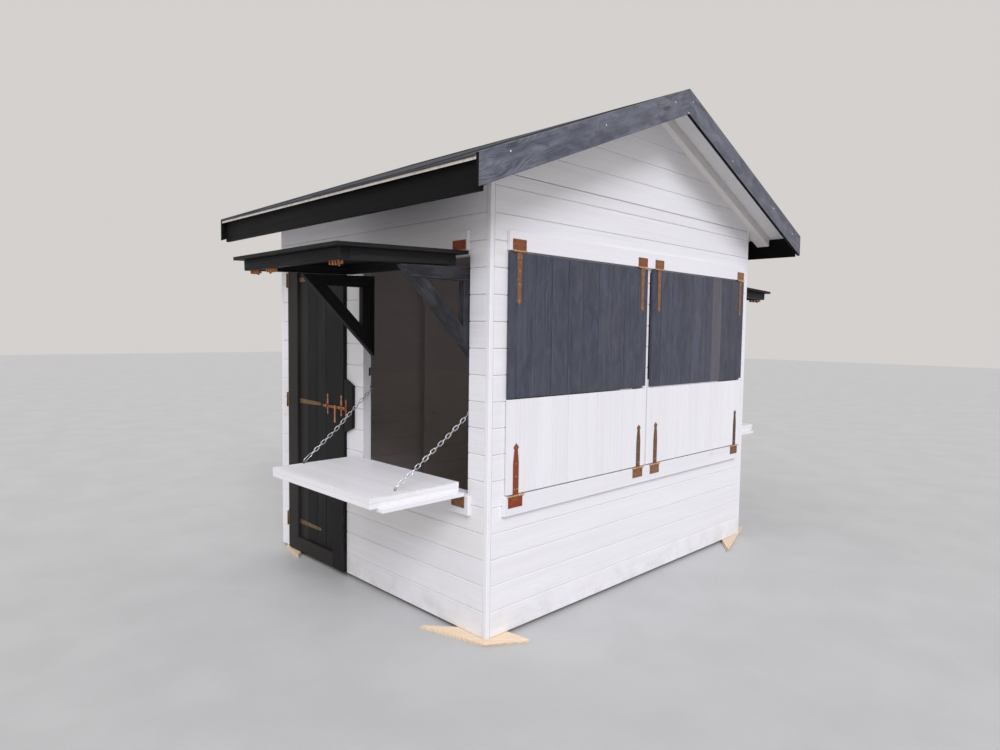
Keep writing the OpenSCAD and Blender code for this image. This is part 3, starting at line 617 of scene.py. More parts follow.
def tube(P, path, r, key, n=8, closed=False, tone=None):
    """Smooth wire along a path of points."""
    path = np.asarray(path, float)
    m = len(path)
    V = []
    prev = None
    for i in range(m):
        if closed:
            t = path[(i + 1) % m] - path[i - 1]
        else:
            t = path[min(i + 1, m - 1)] - path[max(i - 1, 0)]
        t = t / np.linalg.norm(t)
        if prev is None:
            h = np.array([0, 0, 1.0]) if abs(t[2]) < 0.8 else np.array([1.0, 0, 0])
            u = np.cross(t, h)
        else:
            u = prev - t * (prev @ t)
        u /= np.linalg.norm(u)
        prev = u
        w = np.cross(t, u)
        for j in range(n):
            a = 2 * math.pi * j / n
            V.append(path[i] + (u * math.cos(a) + w * math.sin(a)) * r)
    F = []
    for i in range(m if closed else m - 1):
        for j in range(n):
            a, b = i * n + j, i * n + (j + 1) % n
            c, d = ((i + 1) % m) * n + j, ((i + 1) % m) * n + (j + 1) % n
            F.append([a, b, d, c])
    if not closed:
        F.append(list(reversed(range(n))))
        F.append(list(range((m - 1) * n, m * n)))
    P.add(V, F, key, None, tone, True)


def dome(P, c, nrm, r, h, key, slot=True, n=12, turn=0.3, tone=None):
    """Screw head: a low dome, with a cross cut into it when slot is set."""
    c, nrm = np.asarray(c, float), np.asarray(nrm, float)
    nrm = nrm / np.linalg.norm(nrm)
    hh = np.array([0, 0, 1.0]) if abs(nrm[2]) < 0.9 else np.array([1.0, 0, 0])
    u = np.cross(nrm, hh); u /= np.linalg.norm(u)
    w = np.cross(nrm, u)
    rows = [(1.0, 0.0), (0.93, 0.45), (0.7, 0.85), (0.42, 1.0), (0.2, 0.55)]
    V = []
    for (rr, k) in rows:
        for i in range(n):
            a = 2 * math.pi * i / n + turn
            q = 1.0 if rr > 0.3 or not slot else (1.25 if i % 3 == 0 else 0.6)
            V.append(c + (u * math.cos(a) + w * math.sin(a)) * r * rr * q + nrm * h * k)
    F = []
    for k in range(len(rows) - 1):
        for i in range(n):
            a, b = k * n + i, k * n + (i + 1) % n
            F.append([a, b, b + n, a + n])
    F.append(list(range((len(rows) - 1) * n, len(rows) * n)))
    F.append(list(reversed(range(n))))
    P.add(V, F, key, None, tone, False)


FRONT = dict(O=(0, -HL, 0), X=(1, 0, 0), Z=(0, -1, 0))
BACK = dict(O=(0, HL, 0), X=(-1, 0, 0), Z=(0, 1, 0))
LEFT = dict(O=(-HW, 0, 0), X=(0, -1, 0), Z=(-1, 0, 0))
RIGHT = dict(O=(HW, 0, 0), X=(0, 1, 0), Z=(1, 0, 0))
LINES = [0.020 + BOARD * n for n in range(18)]

# ------------------------------------------------------------------ walls
P = Piece("front_and_back_boards", 1)
cuts = [(FO_L[0], FO_L[1], SILL, HEAD), (FO_R[0], FO_R[1], SILL, HEAD)]
wall(P, FRONT["O"], FRONT["X"], FRONT["Z"], LINES + [2.400], (-HW + 0.030, HW - 0.030), cuts, CLAD, "white")
wall(P, BACK["O"], BACK["X"], BACK["Z"], LINES + [2.400], (-HW + 0.030, HW - 0.030), [], CLAD, "white")
P.make("hut", ["end_cladding"])

P = Piece("gable_boards", 2)
for w in (FRONT, BACK):
    wall(P, w["O"], w["X"], w["Z"], [2.402, 2.536, 2.672, 2.808, 2.944, 3.0208], (-HW + 0.030, HW - 0.030), [], CLAD, "white",
         tops=(SOFFIT - 0.001, SLOPE))
for x in (0.418, 0.753, 1.093):
    # nails near the boards' ends
    for s in (-1, 1):
        for (y, n) in ((-HL, -1), (HL, 1)):
            dome(P, (s * x, y, rz(SOFFIT, x) - 0.064), (0, n, 0), 0.0030, 0.0009, "nail", turn=x * 9)
P.make("hut", ["gable_panels"])

P = Piece("side_boards", 3)
TOP = rz(SOFFIT, HW) - 0.004
side_lines = LINES[:-1] + [LINES[-1], TOP]
cuts = [(-SO[1], -SO[0], SILL, HEAD), (-0.964, -0.218, 0.0, 2.134)]
wall(P, LEFT["O"], LEFT["X"], LEFT["Z"], side_lines, (-HL + 0.030, HL - 0.030), cuts, CLAD, "white")
cuts = [(SO[0] + SHIFT, SO[1] + SHIFT, SILL, HEAD)]
wall(P, RIGHT["O"], RIGHT["X"], RIGHT["Z"], side_lines, (-HL + 0.030, HL - 0.030), cuts, CLAD, "white")
P.make("hut", ["side_cladding"])

P = Piece("corner_strips", 4)
for sx in (-1, 1):
    for sy in (-1, 1):
        xs = sorted((sx * HW, sx * (HW - 0.028)))
        ys = sorted((sy * HL, sy * (HL - 0.028)))
        timber(P, (xs[0], ys[0], 0.020), (xs[1], ys[1], TOP), "white", "z", 0.0028, n=3)
P.make("hut", ["corner_battens"])

P = Piece("hatch_trim_boards", 5)


def trim(P, lo, hi, key="white"):
    timber(P, lo, hi, key, None, 0.0022, n=2)


trim(P, (-1.273, -HL - FACE, 2.016), (1.280, -HL, 2.114))
trim(P, (-1.288, -HL - FACE, 0.646), (1.264, -HL, 0.749))
for side in (0, 1):
    for (y0, y1, z0, z1) in ((-0.950, 0.060, 2.016, 2.114), (-0.974, 0.085, 0.646, 0.749)):
        if side == 0:
            trim(P, (-HW - FACE, y0, z0), (-HW, y1, z1))
        else:
            trim(P, (HW, y0 + SHIFT, z0), (HW + FACE, y1 + SHIFT, z1))
P.make("hut", ["hatch_boards"])

P = Piece("keeper_board_piece", 6)
slab(P, [(0.217, 0.943), (0.217, 1.290), (0.122, 1.250), (0.122, 0.983)], (-HW - FACE, 0, 0), (0, 1, 0), (0, 0, 1), (1, 0, 0), FACE,
     "deepblack", 0.002, grain=((0, 0, 1), (0, 1, 0), (1, 0, 0)))
P.make("hut", ["keeper_board"])

# ------------------------------------------------------------------ frame of the hut
P = Piece("studs", 7)
y0 = -HL + CLAD
for p in ((-1.329, FO_L[0]), (FO_L[1], FO_R[0]), (FO_R[1], 1.329)):
    timber(P, (p[0], y0, 0.0604), (p[1], y0 + STUD, 2.2996), "raw", "z")
for p in ((-1.329, -1.270), (-0.107, -0.019), (1.270, 1.329)):
    # the back wall's centre post takes the board backs' colour at a low tone, slightly darker, as painted shade
    timber(P, (p[0], HL - 0.058, 0.0604), (p[1], HL - CLAD, 2.2996), "inside" if p[0] == -0.107 else "raw", "z", tone=0.1 if p[0] == -0.107 else None)
for p in ((-1.0695, -1.010), (-1.008, SO[0]), (SO[1], 0.091), (0.158, 0.218), (0.964, 1.0695)):
    key = "white" if p[1] in (SO[0],) or p[0] in (SO[1],) else "raw"
    timber(P, (-HW + CLAD, p[0], 0.0604), (-HW + CLAD + STUD, p[1], 2.2996), key, "z")
for p in ((-1.0695, -1.010), (-0.967, -0.907), (0.072, 0.132), (0.560, 0.620), (1.010, 1.0695)):
    key = "white" if p[1] == -0.907 or p[0] == 0.072 else "raw"
    timber(P, (HW - CLAD - STUD, p[0], 0.0604), (HW - CLAD, p[1], 2.2996), key, "z")
for y in (y0, HL - 0.058):
    timber(P, (-0.056, y, 2.3404), (0.030, y + STUD, 2.860), "raw", "z")
P.make("hut", ["wall_posts"])

P = Piece("plates_and_rails", 8)
for z in ((0.020, 0.060), (2.300, 2.340)):
    for y in (y0, HL - 0.058):
        timber(P, (-1.3295, y, z[0]), (1.3295, y + STUD, z[1]), "raw", "x")
    for x in (-HW + CLAD, HW - CLAD - STUD):
        timber(P, (x, -1.0695, z[0]), (x + STUD, 1.0695, z[1]), "raw", "y")
for z in ((SILL - 0.040, SILL), (HEAD, HEAD + 0.040)):
    for p in (FO_L, FO_R):
        timber(P, (p[0] + 0.0004, y0, z[0]), (p[1] - 0.0004, y0 + STUD, z[1]), "raw", "x")
    timber(P, (-HW + CLAD, SO[0] + 0.0004, z[0]), (-HW + CLAD + STUD, SO[1] - 0.0004, z[1]), "white", "y")
    timber(P, (HW - CLAD - STUD, SO[0] + SHIFT + 0.0004, z[0]), (HW - CLAD, SO[1] + SHIFT - 0.0004, z[1]), "white", "y")
timber(P, (-HW + CLAD, 0.2184, 2.134), (-HW + CLAD + STUD, 0.9636, 2.174), "raw", "y")
P.make("hut", ["wall_rails"])

P = Piece("floor_planks", 9)
w = 0.122
y = -1.0396
while y < 1.0390:
    y2 = min(y + w, 1.0396)
    prism(P, (0, 0, 0.090), (1, 0, 0), (0, 1, 0), (0, 0, 1), board_profile(y, y2, 0.0196, y > -1.03, y2 < 1.039, 0.0015), -1.3296, 1.3296, "rawdark", n=2)
    y = y2
P.make("hut", ["floor_boards"])

P = Piece("floor_joists", 10)
for y in (-1.0395, -0.542, -0.0225, 0.497, 0.9945):
    timber(P, (-1.3296, y, 0.020), (1.3296, y + 0.045, 0.070), "raw", "x", 0.003)
P.make("hut", ["floor_bearers"])

# ------------------------------------------------------------------ roof
P = Piece("rafters_and_ridge", 11)
zt = SOFFIT - 0.0004
RH = 0.068
XF = 0.056
for s in (-1, 1):
    def poly(pts):
        return [(s * a, b) for a, b in pts]

    def rafter(y, t, x0, x1, key):
        xf = XF - 0.0004
        grain = ((s * CT, 0, -ST), (ST * s, 0, CT), (0, 1, 0))
        slab(P, poly([(x0, rz(zt, xf)), (xf, rz(zt, xf)), (x1, rz(zt, x1)), (x1, rz(zt, x1) - RH), (x0, rz(zt, x0) - RH)]),
             (0, y, 0), (1, 0, 0), (0, 0, 1), (0, 1, 0), t, key, 0.002, grain)

    def tail(y, t, key):
        x0, x1 = HW + 0.0004, 1.640
        grain = ((s * CT, 0, -ST), (ST * s, 0, CT), (0, 1, 0))
        slab(P, poly([(x0, rz(zt, x0)), (x1, rz(zt, x1)), (x1, rz(zt, x1) - RH), (x0, rz(zt, x0) - RH)]),
             (0, y, 0), (1, 0, 0), (0, 0, 1), (0, 1, 0), t, key, 0.002, grain)

    rafter(-HL - 0.0504, 0.050, 0.0002, 1.640, "grey")
    rafter(HL + 0.0004, 0.050, 0.0002, 1.640, "grey")
    for y in (-HL + CLAD + 0.0004, HL - 0.0584, -0.388, 0.348):
        rafter(y, STUD, 0.0144, 1.329, "raw")
    for y in (-0.388, 0.348):
        tail(y, STUD, "grey")
    for y in (-HL, HL - 0.048):
        tail(y, 0.048, "grey")
timber(P, (-0.014, -HL + 0.057, 2.8948), (0.014, HL - 0.057, 3.0210), "raw", "y")
P.make("hut", ["rafters"])

P = Piece("roof_sheathing", 12)
top = RIDGE - 0.0108 - 0.0004
th = 0.019
yb = ROOF_Y - BARGE_T - 0.0004
for s in (-1, 1):
    for (a, b) in ((-yb, 0.0995), (0.1005, yb)):
        for (q0, q1) in ((0.0564, 0.880), (0.881, ROOF_X - 0.0026)):
            slab(P, [(s * q0, rz(top, q0)), (s * q1, rz(top, q1)), (s * q1, rz(top, q1) - th), (s * q0, rz(top, q0) - th)],
                 (0, a, 0), (1, 0, 0), (0, 0, 1), (0, 1, 0), b - a, "soffit", 0.0012, ((s * CT, 0, -ST), (0, 1, 0), (ST * s, 0, CT)))
    # sawn edge along the eaves, grey as painted shade
    e0, e1 = ROOF_X - 0.0024, ROOF_X - 0.0004
    slab(P, [(s * e0, rz(top, e0)), (s * e1, rz(top, e1)), (s * e1, rz(top, e1) - th), (s * e0, rz(top, e0) - th)],
         (0, -yb, 0), (1, 0, 0), (0, 0, 1), (0, 1, 0), 2 * yb, "edge", 0.0006)
    # nails into the outer rafters, seen from below
    for (y, sy) in ((-HL - 0.0575, -1), (HL + 0.0575, 1)):
        for i in range(9):
            q = 0.20 + 0.165 * i + P.rng.uniform(-0.03, 0.03)
            dome(P, (s * q, y + P.rng.uniform(-0.003, 0.003), rz(top, q) - th), (-s * ST, 0, -CT), 0.0026, 0.0009, "nail", turn=q * 7)
for (a, b) in ((-yb, 0.0995), (0.1005, yb)):
    timber(P, (-XF, a, rz(SOFFIT, XF)), (XF, b, rz(RIDGE - 0.0108, XF) - 0.0004), "soffit", "y", 0.0012)
P.make("hut", ["roof_deck"])

P = Piece("felt_sheets", 13)


def felt_strip(P, s, y0, y1, lift, t=0.0042, q0=0.0, q1=ROOF_X, curl=0.0, seed=0):
    """One sheet of felt down a slope, a little wavy, with its edges slightly curled."""
    rng = np.random.RandomState(seed)
    ph = rng.uniform(0, 6.28, 6)
    nu, nv = 26, 14
    V, G = [], []
    for layer in (0, 1):
        for i in range(nu + 1):
            for j in range(nv + 1):
                q = q0 + (q1 - q0) * i / nu
                if q0 == 0.0 and abs(q - XF) < 0.5 * (q1 - q0) / nu:
                    q = XF
                y = y0 + (y1 - y0) * j / nv
                wv = 0.0009 * math.sin(7 * q + ph[0] + 3 * y) + 0.0006 * math.sin(13 * y + ph[1]) + 0.0005 * math.sin(21 * q + ph[2])
                e = min(j, nv - j) / nv
                up = lift + wv * min(1.0, e * 8) + (curl * (1 - j / nv * 12) if j / nv < 1 / 12 else 0.0)
                h = max(up, 0.0002) + (t if layer else 0.0)
                h = min(h, 0.0106)
                base = rz(RIDGE - 0.0108, max(q, XF))
                tilt = 0.0 if q < XF else 1.0
                V.append((s * (q + h * ST * tilt), y, base + h * (CT if tilt else 0.985)))
                G.append((q, y, h))
    F = []
    m = nv + 1
    N = (nu + 1) * m

    def quad(a, b, c, d):
        F.append([a, b, c, d] if s > 0 else [d, c, b, a])

    for i in range(nu):
        for j in range(nv):
            a = i * m + j
            quad(N + a, N + a + m, N + a + m + 1, N + a + 1)
            quad(a, a + 1, a + m + 1, a + m)
    for i in range(nu):
        a, b = i * m, (i + 1) * m
        quad(a, b, N + b, N + a)
        a, b = i * m + nv, (i + 1) * m + nv
        quad(b, a, N + a, N + b)
    for j in range(nv):
        a, b = j, j + 1
        quad(b, a, N + a, N + b)
        a, b = nu * m + j, nu * m + j + 1
        quad(a, b, N + b, N + a)
    P.add(V, F, "felt", G, None, False)


yb = ROOF_Y - BARGE_T - 0.0006
for s in (-1, 1):
    felt_strip(P, s, -yb, -0.860, 0.0002, seed=1 + s)
    felt_strip(P, s, -0.918, 0.070, 0.0045, curl=0.0012, seed=3 + s)
    felt_strip(P, s, 0.010, 0.980, 0.0002, seed=5 + s)
    felt_strip(P, s, 0.930, yb, 0.0045, curl=0.0008, seed=7 + s)
    # ridge strip
    felt_strip(P, s, -yb, yb, 0.0064, t=0.0040, q0=0.0, q1=0.155, seed=11 + s)
    # the sheets are turned down over the edge of the boards
    e0, e1 = ROOF_X + 0.0002, ROOF_X + 0.0038
    ze = rz(RIDGE - 0.0108, ROOF_X)
    for (ya, yc, up, dn) in ((-yb, -0.9185, 0.0040, 0.0056), (-0.918, 0.0695, 0.0086, 0.0048), (0.070, 0.9795, 0.0040, 0.0052), (0.980, yb, 0.0086, 0.0046)):
        slab(P, [(s * e0, ze + up), (s * (e0 + 0.0018), ze + up - 0.0004), (s * e1, ze + up - 0.0026), (s * e1, ze - dn + 0.0006), (s * (e1 - 0.0006), ze - dn), (s * e0, ze - dn)],
             (0, ya, 0), (1, 0, 0), (0, 0, 1), (0, 1, 0), yc - ya, "felt", 0.0005)
P.make("hut", ["roof_felt"])

P = Piece("verge_boards", 14)


def verge_shaded_sides(ny, nz):
    """Only the face and the top get the weathered grey stain; the underside, back and ends get the near-black finish as
    painted shade.
    """
    return "fascia" if ny is None or ny < -0.8 or nz < -0.8 else None


VF = ROOF_Y - 0.0008
for s in (-1, 1):
    for (y, zy) in ((-VF, -1), (VF, 1)):
        X = (s * CT, 0, -ST)
        Y = (s * ST, 0, CT)
        prof = round_rect(-0.150 * CT, 0.0, -BARGE_T + 0.0008, 0.0, 0.0022, 2)
        # underside, back and ends of the verge boards are near-black as painted shade
        prism(P, (0, y, RIDGE), X, Y, (0, zy, 0), prof, 0.0004 / CT, ROOF_X / CT, "barge", k0=-SLOPE, k1=-SLOPE, bev=0.0012, n=6,
              other=verge_shaded_sides)
P.make("hut", ["bargeboards"])

P = Piece("verge_screws", 15)
for (x, dz) in ((-0.156, 0.053), (0.042, 0.052), (-0.006, 0.143), (-1.524, 0.041), (1.218, 0.053), (-0.820, 0.060), (0.568, 0.096), (1.560, 0.060)):
    for (y, zy) in ((-VF, -1), (VF, 1)):
        dome(P, (-zy * x, y, rz(RIDGE, x) - dz), (0, zy, 0), 0.0046, 0.0007, "screw", turn=x * 9)
P.make("hut", [])

P = Piece("eave_boards", 16)
for s in (-1, 1):
    x0 = HW + 0.279
    x1 = x0 + 0.020
    slab(P, [(s * x0, 2.218), (s * x1, 2.218), (s * x1, rz(SOFFIT, x1) - 0.002), (s * x0, rz(SOFFIT, x0) - 0.002)],
         (0, -ROOF_Y + BARGE_T + 0.0004, 0), (1, 0, 0), (0, 0, 1), (0, 1, 0), 2 * (ROOF_Y - BARGE_T - 0.0004), "fascia", 0.0016,
         ((0, 1, 0), (0, 0, 1), (1, 0, 0)))
P.make("hut", ["eave_fascias"])

# ------------------------------------------------------------------ packing under the corners
P = Piece("packing_wedges", 17)


def pads(P, cx, cy, a, b):
    for (pts, z0, z1) in ((a, 0.0, 0.0098), (b, 0.0102, 0.020)):
        pts = [(cx + x / 1000.0, cy + y / 1000.0) for x, y in pts]
        # grain along the longest side
        best = max(range(len(pts)), key=lambda i: math.dist(pts[i], pts[(i + 1) % len(pts)]))
        p, q = pts[best], pts[(best + 1) % len(pts)]
        L = math.dist(p, q)
        A = ((q[0] - p[0]) / L, (q[1] - p[1]) / L, 0)
        B = (-A[1], A[0], 0)
        slab(P, pts, (0, 0, z0), (1, 0, 0), (0, 1, 0), (0, 0, 1), z1 - z0, "pine", 0.0008, (A, B, (0, 0, 1)))


pads(P, -HW, -HL, [(-130, 376), (-27, -8), (180, -138), (150, 60)], [(-124, 363), (-30, -18), (176, -141), (152, 50)])
pads(P, HW, -HL, [(-455, -138), (225, 72), (-80, 150)], [(-448, -142), (218, 70), (-84, 146)])
pads(P, -HW, HL, [(-62, -355), (180, -90), (130, 95), (-30, -120)], [(-60, -345), (176, -86), (128, 92), (-30, -118)])
pads(P, HW, HL, [(130, -376), (27, 8), (-180, 138), (-150, -60)], [(124, -363), (30, 18), (-176, 141), (-152, -50)])
P.make("hut", ["corner_pads"])

# ------------------------------------------------------------------ hinges
IR = 0.003


UPPER, LOWER = (0.039, 0.031, 0.028, 0.035, 0.40), (0.042, 0.042, 0.026, 0.036, 0.60)


def spear(w, L):
    """Outline of a strap from its barrel to its spear tip, hanging along -Y from the pin. w holds
    the widths at the root, on the way, at the neck and across the spear, and where the second is."""
    a, b, c, e = (q / 2 for q in w[:4])
    pts = [(a, -0.006), (a, -0.020), (a * 0.45 + b * 0.55, -w[4] * L * 0.55), (b, -w[4] * L), (b * 0.5 + c * 0.5 + 0.0006, -(w[4] * L + L - 0.036) / 2),
           (c - 0.0006, -L + 0.036), (c + 0.0002, -L + 0.031), (e + 0.0012, -L + 0.0255), (e + 0.0008, -L + 0.0220), (e - 0.0030, -L + 0.015),
           (0.0050, -L + 0.0060), (0.0015, -L + 0.0012), (0.0, -L)]
    left = [(-x, y) for x, y in reversed(pts[:-1])]
    return pts + left


def strap_hinge(P, O, X, Y, Z, L=0.276, key="rust", w=UPPER, barrel="barrel"):
    """Moving strap. O is on the pin, Y points from the tip to the pin, Z away from the flap."""
    O, X, Y, Z = (np.asarray(a, float) for a in (O, X, Y, Z))
    back = -0.005
    slab(P, spear(w, L), O + Z * (back + 0.0002), X, Y, Z, IR - 0.0006, key, 0.0006)
    # barrel wrapped round the pin; its bright colour is partly wear and partly painted highlight
    cyl(P, O - X * 0.0178, O + X * 0.0178, 0.0050, barrel, 20)
    for (d, dx) in ((0.034, 0.010), (0.034, -0.010), (0.100, 0.0), (0.168, 0.0), (0.252, 0.0)):
        dome(P, O + X * dx - Y * d + Z * (back + IR - 0.0006), Z, 0.0046, 0.0018, "wornscrew", turn=d * 40 + dx * 90)


def plate_hinge(P, O, X, Y, Z, w, h, key="rust", over=0.0):
    """Fixed plate. O is on the pin, Y points from the pin over the plate, Z away from the wall."""
    O, X, Y, Z = (np.asarray(a, float) for a in (O, X, Y, Z))
    back = -(PIN_OUT - FACE)
    slab(P, round_rect(-w / 2, w / 2, 0.007, 0.007 + h, 0.0016, 2), O + Z * back, X, Y, Z, IR, key, 0.0007)
    for e in (-1, 1):
        a, b = (0.0186, w / 2 - 0.002)
        # barrels in the bright colour, partly painted highlight
        cyl(P, O + X * (e * a), O + X * (e * (b + over)), 0.0050, "barrel", 20)
        # curl that carries the barrel
        slab(P, round_rect(min(e * a, e * b), max(e * a, e * b), 0.0005, 0.0085, 0.0006, 1), O + Z * (back + 0.0006), X, Y, Z, IR - 0.0004, key, 0.0004)
        cyl(P, O + X * (e * (b + over - 0.0004)), O + X * (e * (b + over + 0.0016)), 0.0032, "barrel", 14)
    for (dx, dy) in ((-w / 2 + 0.013, h - 0.005), (w / 2 - 0.013, h - 0.005), (-w / 2 + 0.018, 0.022), (w / 2 - 0.018, 0.022)):
        dome(P, O + X * dx + Y * dy + Z * (back + IR), Z, 0.0046, 0.0018, "darkscrew", turn=dx * 70)


UP_X = (-1.203, -0.086, 0.104, 1.228)
LO_X = (-1.209, -0.090, 0.105, 1.207)
UP_Y, LO_Y = (-0.888, -0.026), (-0.896, -0.018)

P = Piece("hinge_plates_front", 18)
for x in UP_X:
    plate_hinge(P, (x, -HL - PIN_OUT, PIN_HI), (1, 0, 0), (0, 0, 1), (0, -1, 0), 0.100, 0.054, "plate" if x < 0 else "rust")
for x in LO_X:
    plate_hinge(P, (x, -HL - PIN_OUT, PIN_LO), (-1, 0, 0), (0, 0, -1), (0, -1, 0), 0.106, 0.055, "twotone" if x < -1 else "rust", 0.008)
P.make("hut", [])


def mirror_right():
    """Takes a point of the left wall's hatch to the right wall's."""
    return Matrix.Translation((0, SHIFT, 0)) @ Matrix.Scale(-1, 4, (1, 0, 0))


BR_IN, BR_Y = 0.056, (-0.945, 0.028)
HINGE_Z = (1.500, 1.800)
CH_E = (0.420, 0.835)
CH_M = (0.212, 0.995)
CH_U = ((-0.055, 1.196), (-0.055, 1.246))
CH_Y = ((-0.890, -0.9036, -0.910, -0.925, -0.940), (0.002, 0.0012, 0.0076, 0.008, 0.023))


def ring(c, axis, r, n=28):
    c, axis = np.asarray(c, float), np.asarray(axis, float)
    h = np.array([0, 0, 1.0]) if abs(axis[2]) < 0.9 else np.array([1.0, 0, 0])
    u = np.cross(axis, h); u /= np.linalg.norm(u)
    w = np.cross(axis, u)
    return [c + (u * math.cos(2 * math.pi * i / n) + w * math.sin(2 * math.pi * i / n)) * r for i in range(n)]


def side_irons(name, body_nodes, turn):
    P = Piece(name, 19)
    for y in UP_Y:
        plate_hinge(P, (-HW - PIN_OUT, y, PIN_HI), (0, -1, 0), (0, 0, 1), (-1, 0, 0), 0.102, 0.048, "redrust")
    for y in LO_Y:
        plate_hinge(P, (-HW - PIN_OUT, y, PIN_LO), (0, 1, 0), (0, 0, -1), (-1, 0, 0), 0.102, 0.060, "rust")
    # eyes in the reveals
    for i in (0, 1):
        y = CH_Y[i][4]
        c = (-HW - CH_U[i][0], y, CH_U[i][1])
        tube(P, ring(c, (1, 0, 0), 0.0060), 0.0016, "brass", 8, True)
        ye = SO[i]
        cyl(P, (c[0], y + (i * 2 - 1) * 0.0055, c[2]), (c[0], ye, c[2]), 0.0016, "brass", 10)
        cyl(P, (c[0], ye - (i * 2 - 1) * 0.0014, c[2]), (c[0], ye, c[2]), 0.0062, "brass", 18, cap=0.0004)
    # small black catch at the far jamb's inner edge
    slab(P, round_rect(-0.0066, 0.0066, 1.316, 1.366, 0.0012, 1), (-HW + 0.0475, SO[1] - 0.0018, 0), (1, 0, 0), (0, 0, 1), (0, 1, 0), 0.0018, "blackiron", 0.0004)
    for z in (1.3235, 1.3410, 1.3585):
        timber(P, (-HW + 0.0430, SO[1] - 0.0052, z - 0.0048), (-HW + 0.0522, SO[1] - 0.0014, z + 0.0048), "blackiron", "z", 0.0012)
    # butt hinges of the brackets
    for i in (0, 1):
        s = 1 if i == 0 else -1
        for z in HINGE_Z:
            y = BR_Y[i]
            ys = sorted((y - s * 0.0028, y - s * 0.0016))
            timber(P, (-HW + BR_IN - 0.028, ys[0], z - 0.030), (-HW + BR_IN - 0.002, ys[1], z + 0.030), "brass", "z", 0.0004)
            for e in (-0.030, 0.0155):
                cyl(P, (-HW + BR_IN, y, z + e), (-HW + BR_IN, y, z + e + 0.0145), 0.0026, "brass", 12)
    P.make("hut", [], turn)
    return P


side_irons("hinge_plates_left", None, None)
side_irons("hinge_plates_right", None, mirror_right())

# ------------------------------------------------------------------ gable flaps
def vboards(P, O, X, Y, Z, a0, a1, joints, y0, y1, t, key, tones=None, c=0.0034, n=2, gap=0.0007):
    """Upright boards side by side: joints are the places of the grooves between a0 and a1."""
    edges = [a0] + list(joints) + [a1]
    for i, (p, q) in enumerate(zip(edges[:-1], edges[1:])):
        dz = P.rng.uniform(-0.0004, 0.0003)
        prof = [(y, z + dz) for y, z in board_profile(p, q, t, i > 0, i < len(edges) - 2, c, gap)]
        # extruded along Y: the profile's first axis is X
        prism(P, O, Y, X, Z, prof, y0, y1, key, tone=None if tones is None else tones[i % len(tones)], n=n)


def batten_frame(P, O, X, Y, Z, x0, x1, zt, zb, w, d0, d1, key):
    """Frame of four battens behind a flap; Z points outwards, so the frame lies at -Z."""
    def bat(xa, xb, ya, yb, along):
        if along == "x":
            prism(P, O, X, Y, Z, round_rect(ya, yb, -d1, -d0, 0.002, 2), xa, xb, key, n=2)
        else:
            prism(P, O, Y, X, Z, round_rect(xa, xb, -d1, -d0, 0.002, 2), ya, yb, key, n=2)
    bat(x0, x1, zt - w, zt, "x")
    bat(x0, x1, zb, zb + w, "x")
    bat(x0, x0 + w, zb + w + 0.0004, zt - w - 0.0004, "y")
    bat(x1 - w, x1, zb + w + 0.0004, zt - w - 0.0004, "y")


def upper_front(name, body, node, irons, a0, a1, joints, o, xs, tones, seed):
    O, X, Y, Z = (0, -HL - PIN_OUT, PIN_HI), (1, 0, 0), (0, 0, 1), (0, -1, 0)
    P = Piece(name, seed)
    O1 = (0, -HL - PIN_OUT + 0.005, PIN_HI)
    vboards(P, O1, X, Y, Z, a0, a1 - 0.036, joints, 1.259 - PIN_HI, -0.007, 0.018, "black", tones, 0.0012, 2, 0.0013)
    prism(P, O1, Y, X, Z, board_profile(a1 - 0.0359, a1, 0.018, False, False), 1.269 - PIN_HI, -0.007, "black", tone=tones[len(joints)] - 0.05, n=2)
    batten_frame(P, O, X, Y, Z, o[0] + 0.006, o[1] - 0.006, HEAD - 0.006 - PIN_HI, 1.259 + 0.047 - PIN_HI, 0.046, 0.0234, 0.077, "deepblack")
    P.make(body, [node])
    P = Piece(name + "_straps", seed + 1)
    for x in xs:
        strap_hinge(P, (x, -HL - PIN_OUT, PIN_HI), (1, 0, 0), (0, 0, 1), (0, -1, 0))
    P.make(body, [irons])


def lower_front(name, body, node, irons, a0, a1, joints, o, xs, seed):
    O, X, Y, Z = (0, -HL - PIN_OUT, PIN_LO), (1, 0, 0), (0, 0, 1), (0, -1, 0)
    P = Piece(name, seed)
    O1 = (0, -HL - PIN_OUT + 0.005, PIN_LO)
    vboards(P, O1, X, Y, Z, a0, a1, joints, 0.008, 0.504, 0.018, "white", None, 0.0009)
    # inner layer: level boards
    w = (0.498 - 0.012) / 4
    for i in range(4):
        prism(P, O, X, Y, Z, [(y, z - 0.0234) for y, z in board_profile(0.012 + i * w, 0.012 + (i + 1) * w, 0.0476 - 0.0004 - 0.023, i > 0, i < 3, 0.0010, 0.0004)],
              o[0] + 0.006, o[1] - 0.006, "white", n=2)
    P.make(body, [node])
    P = Piece(name + "_straps", seed + 1)
    for x in xs:
        strap_hinge(P, (x, -HL - PIN_OUT, PIN_LO), (-1, 0, 0), (0, 0, -1), (0, -1, 0), key="redrust" if x < -1 else "olive", w=LOWER)
    P.make(body, [irons])


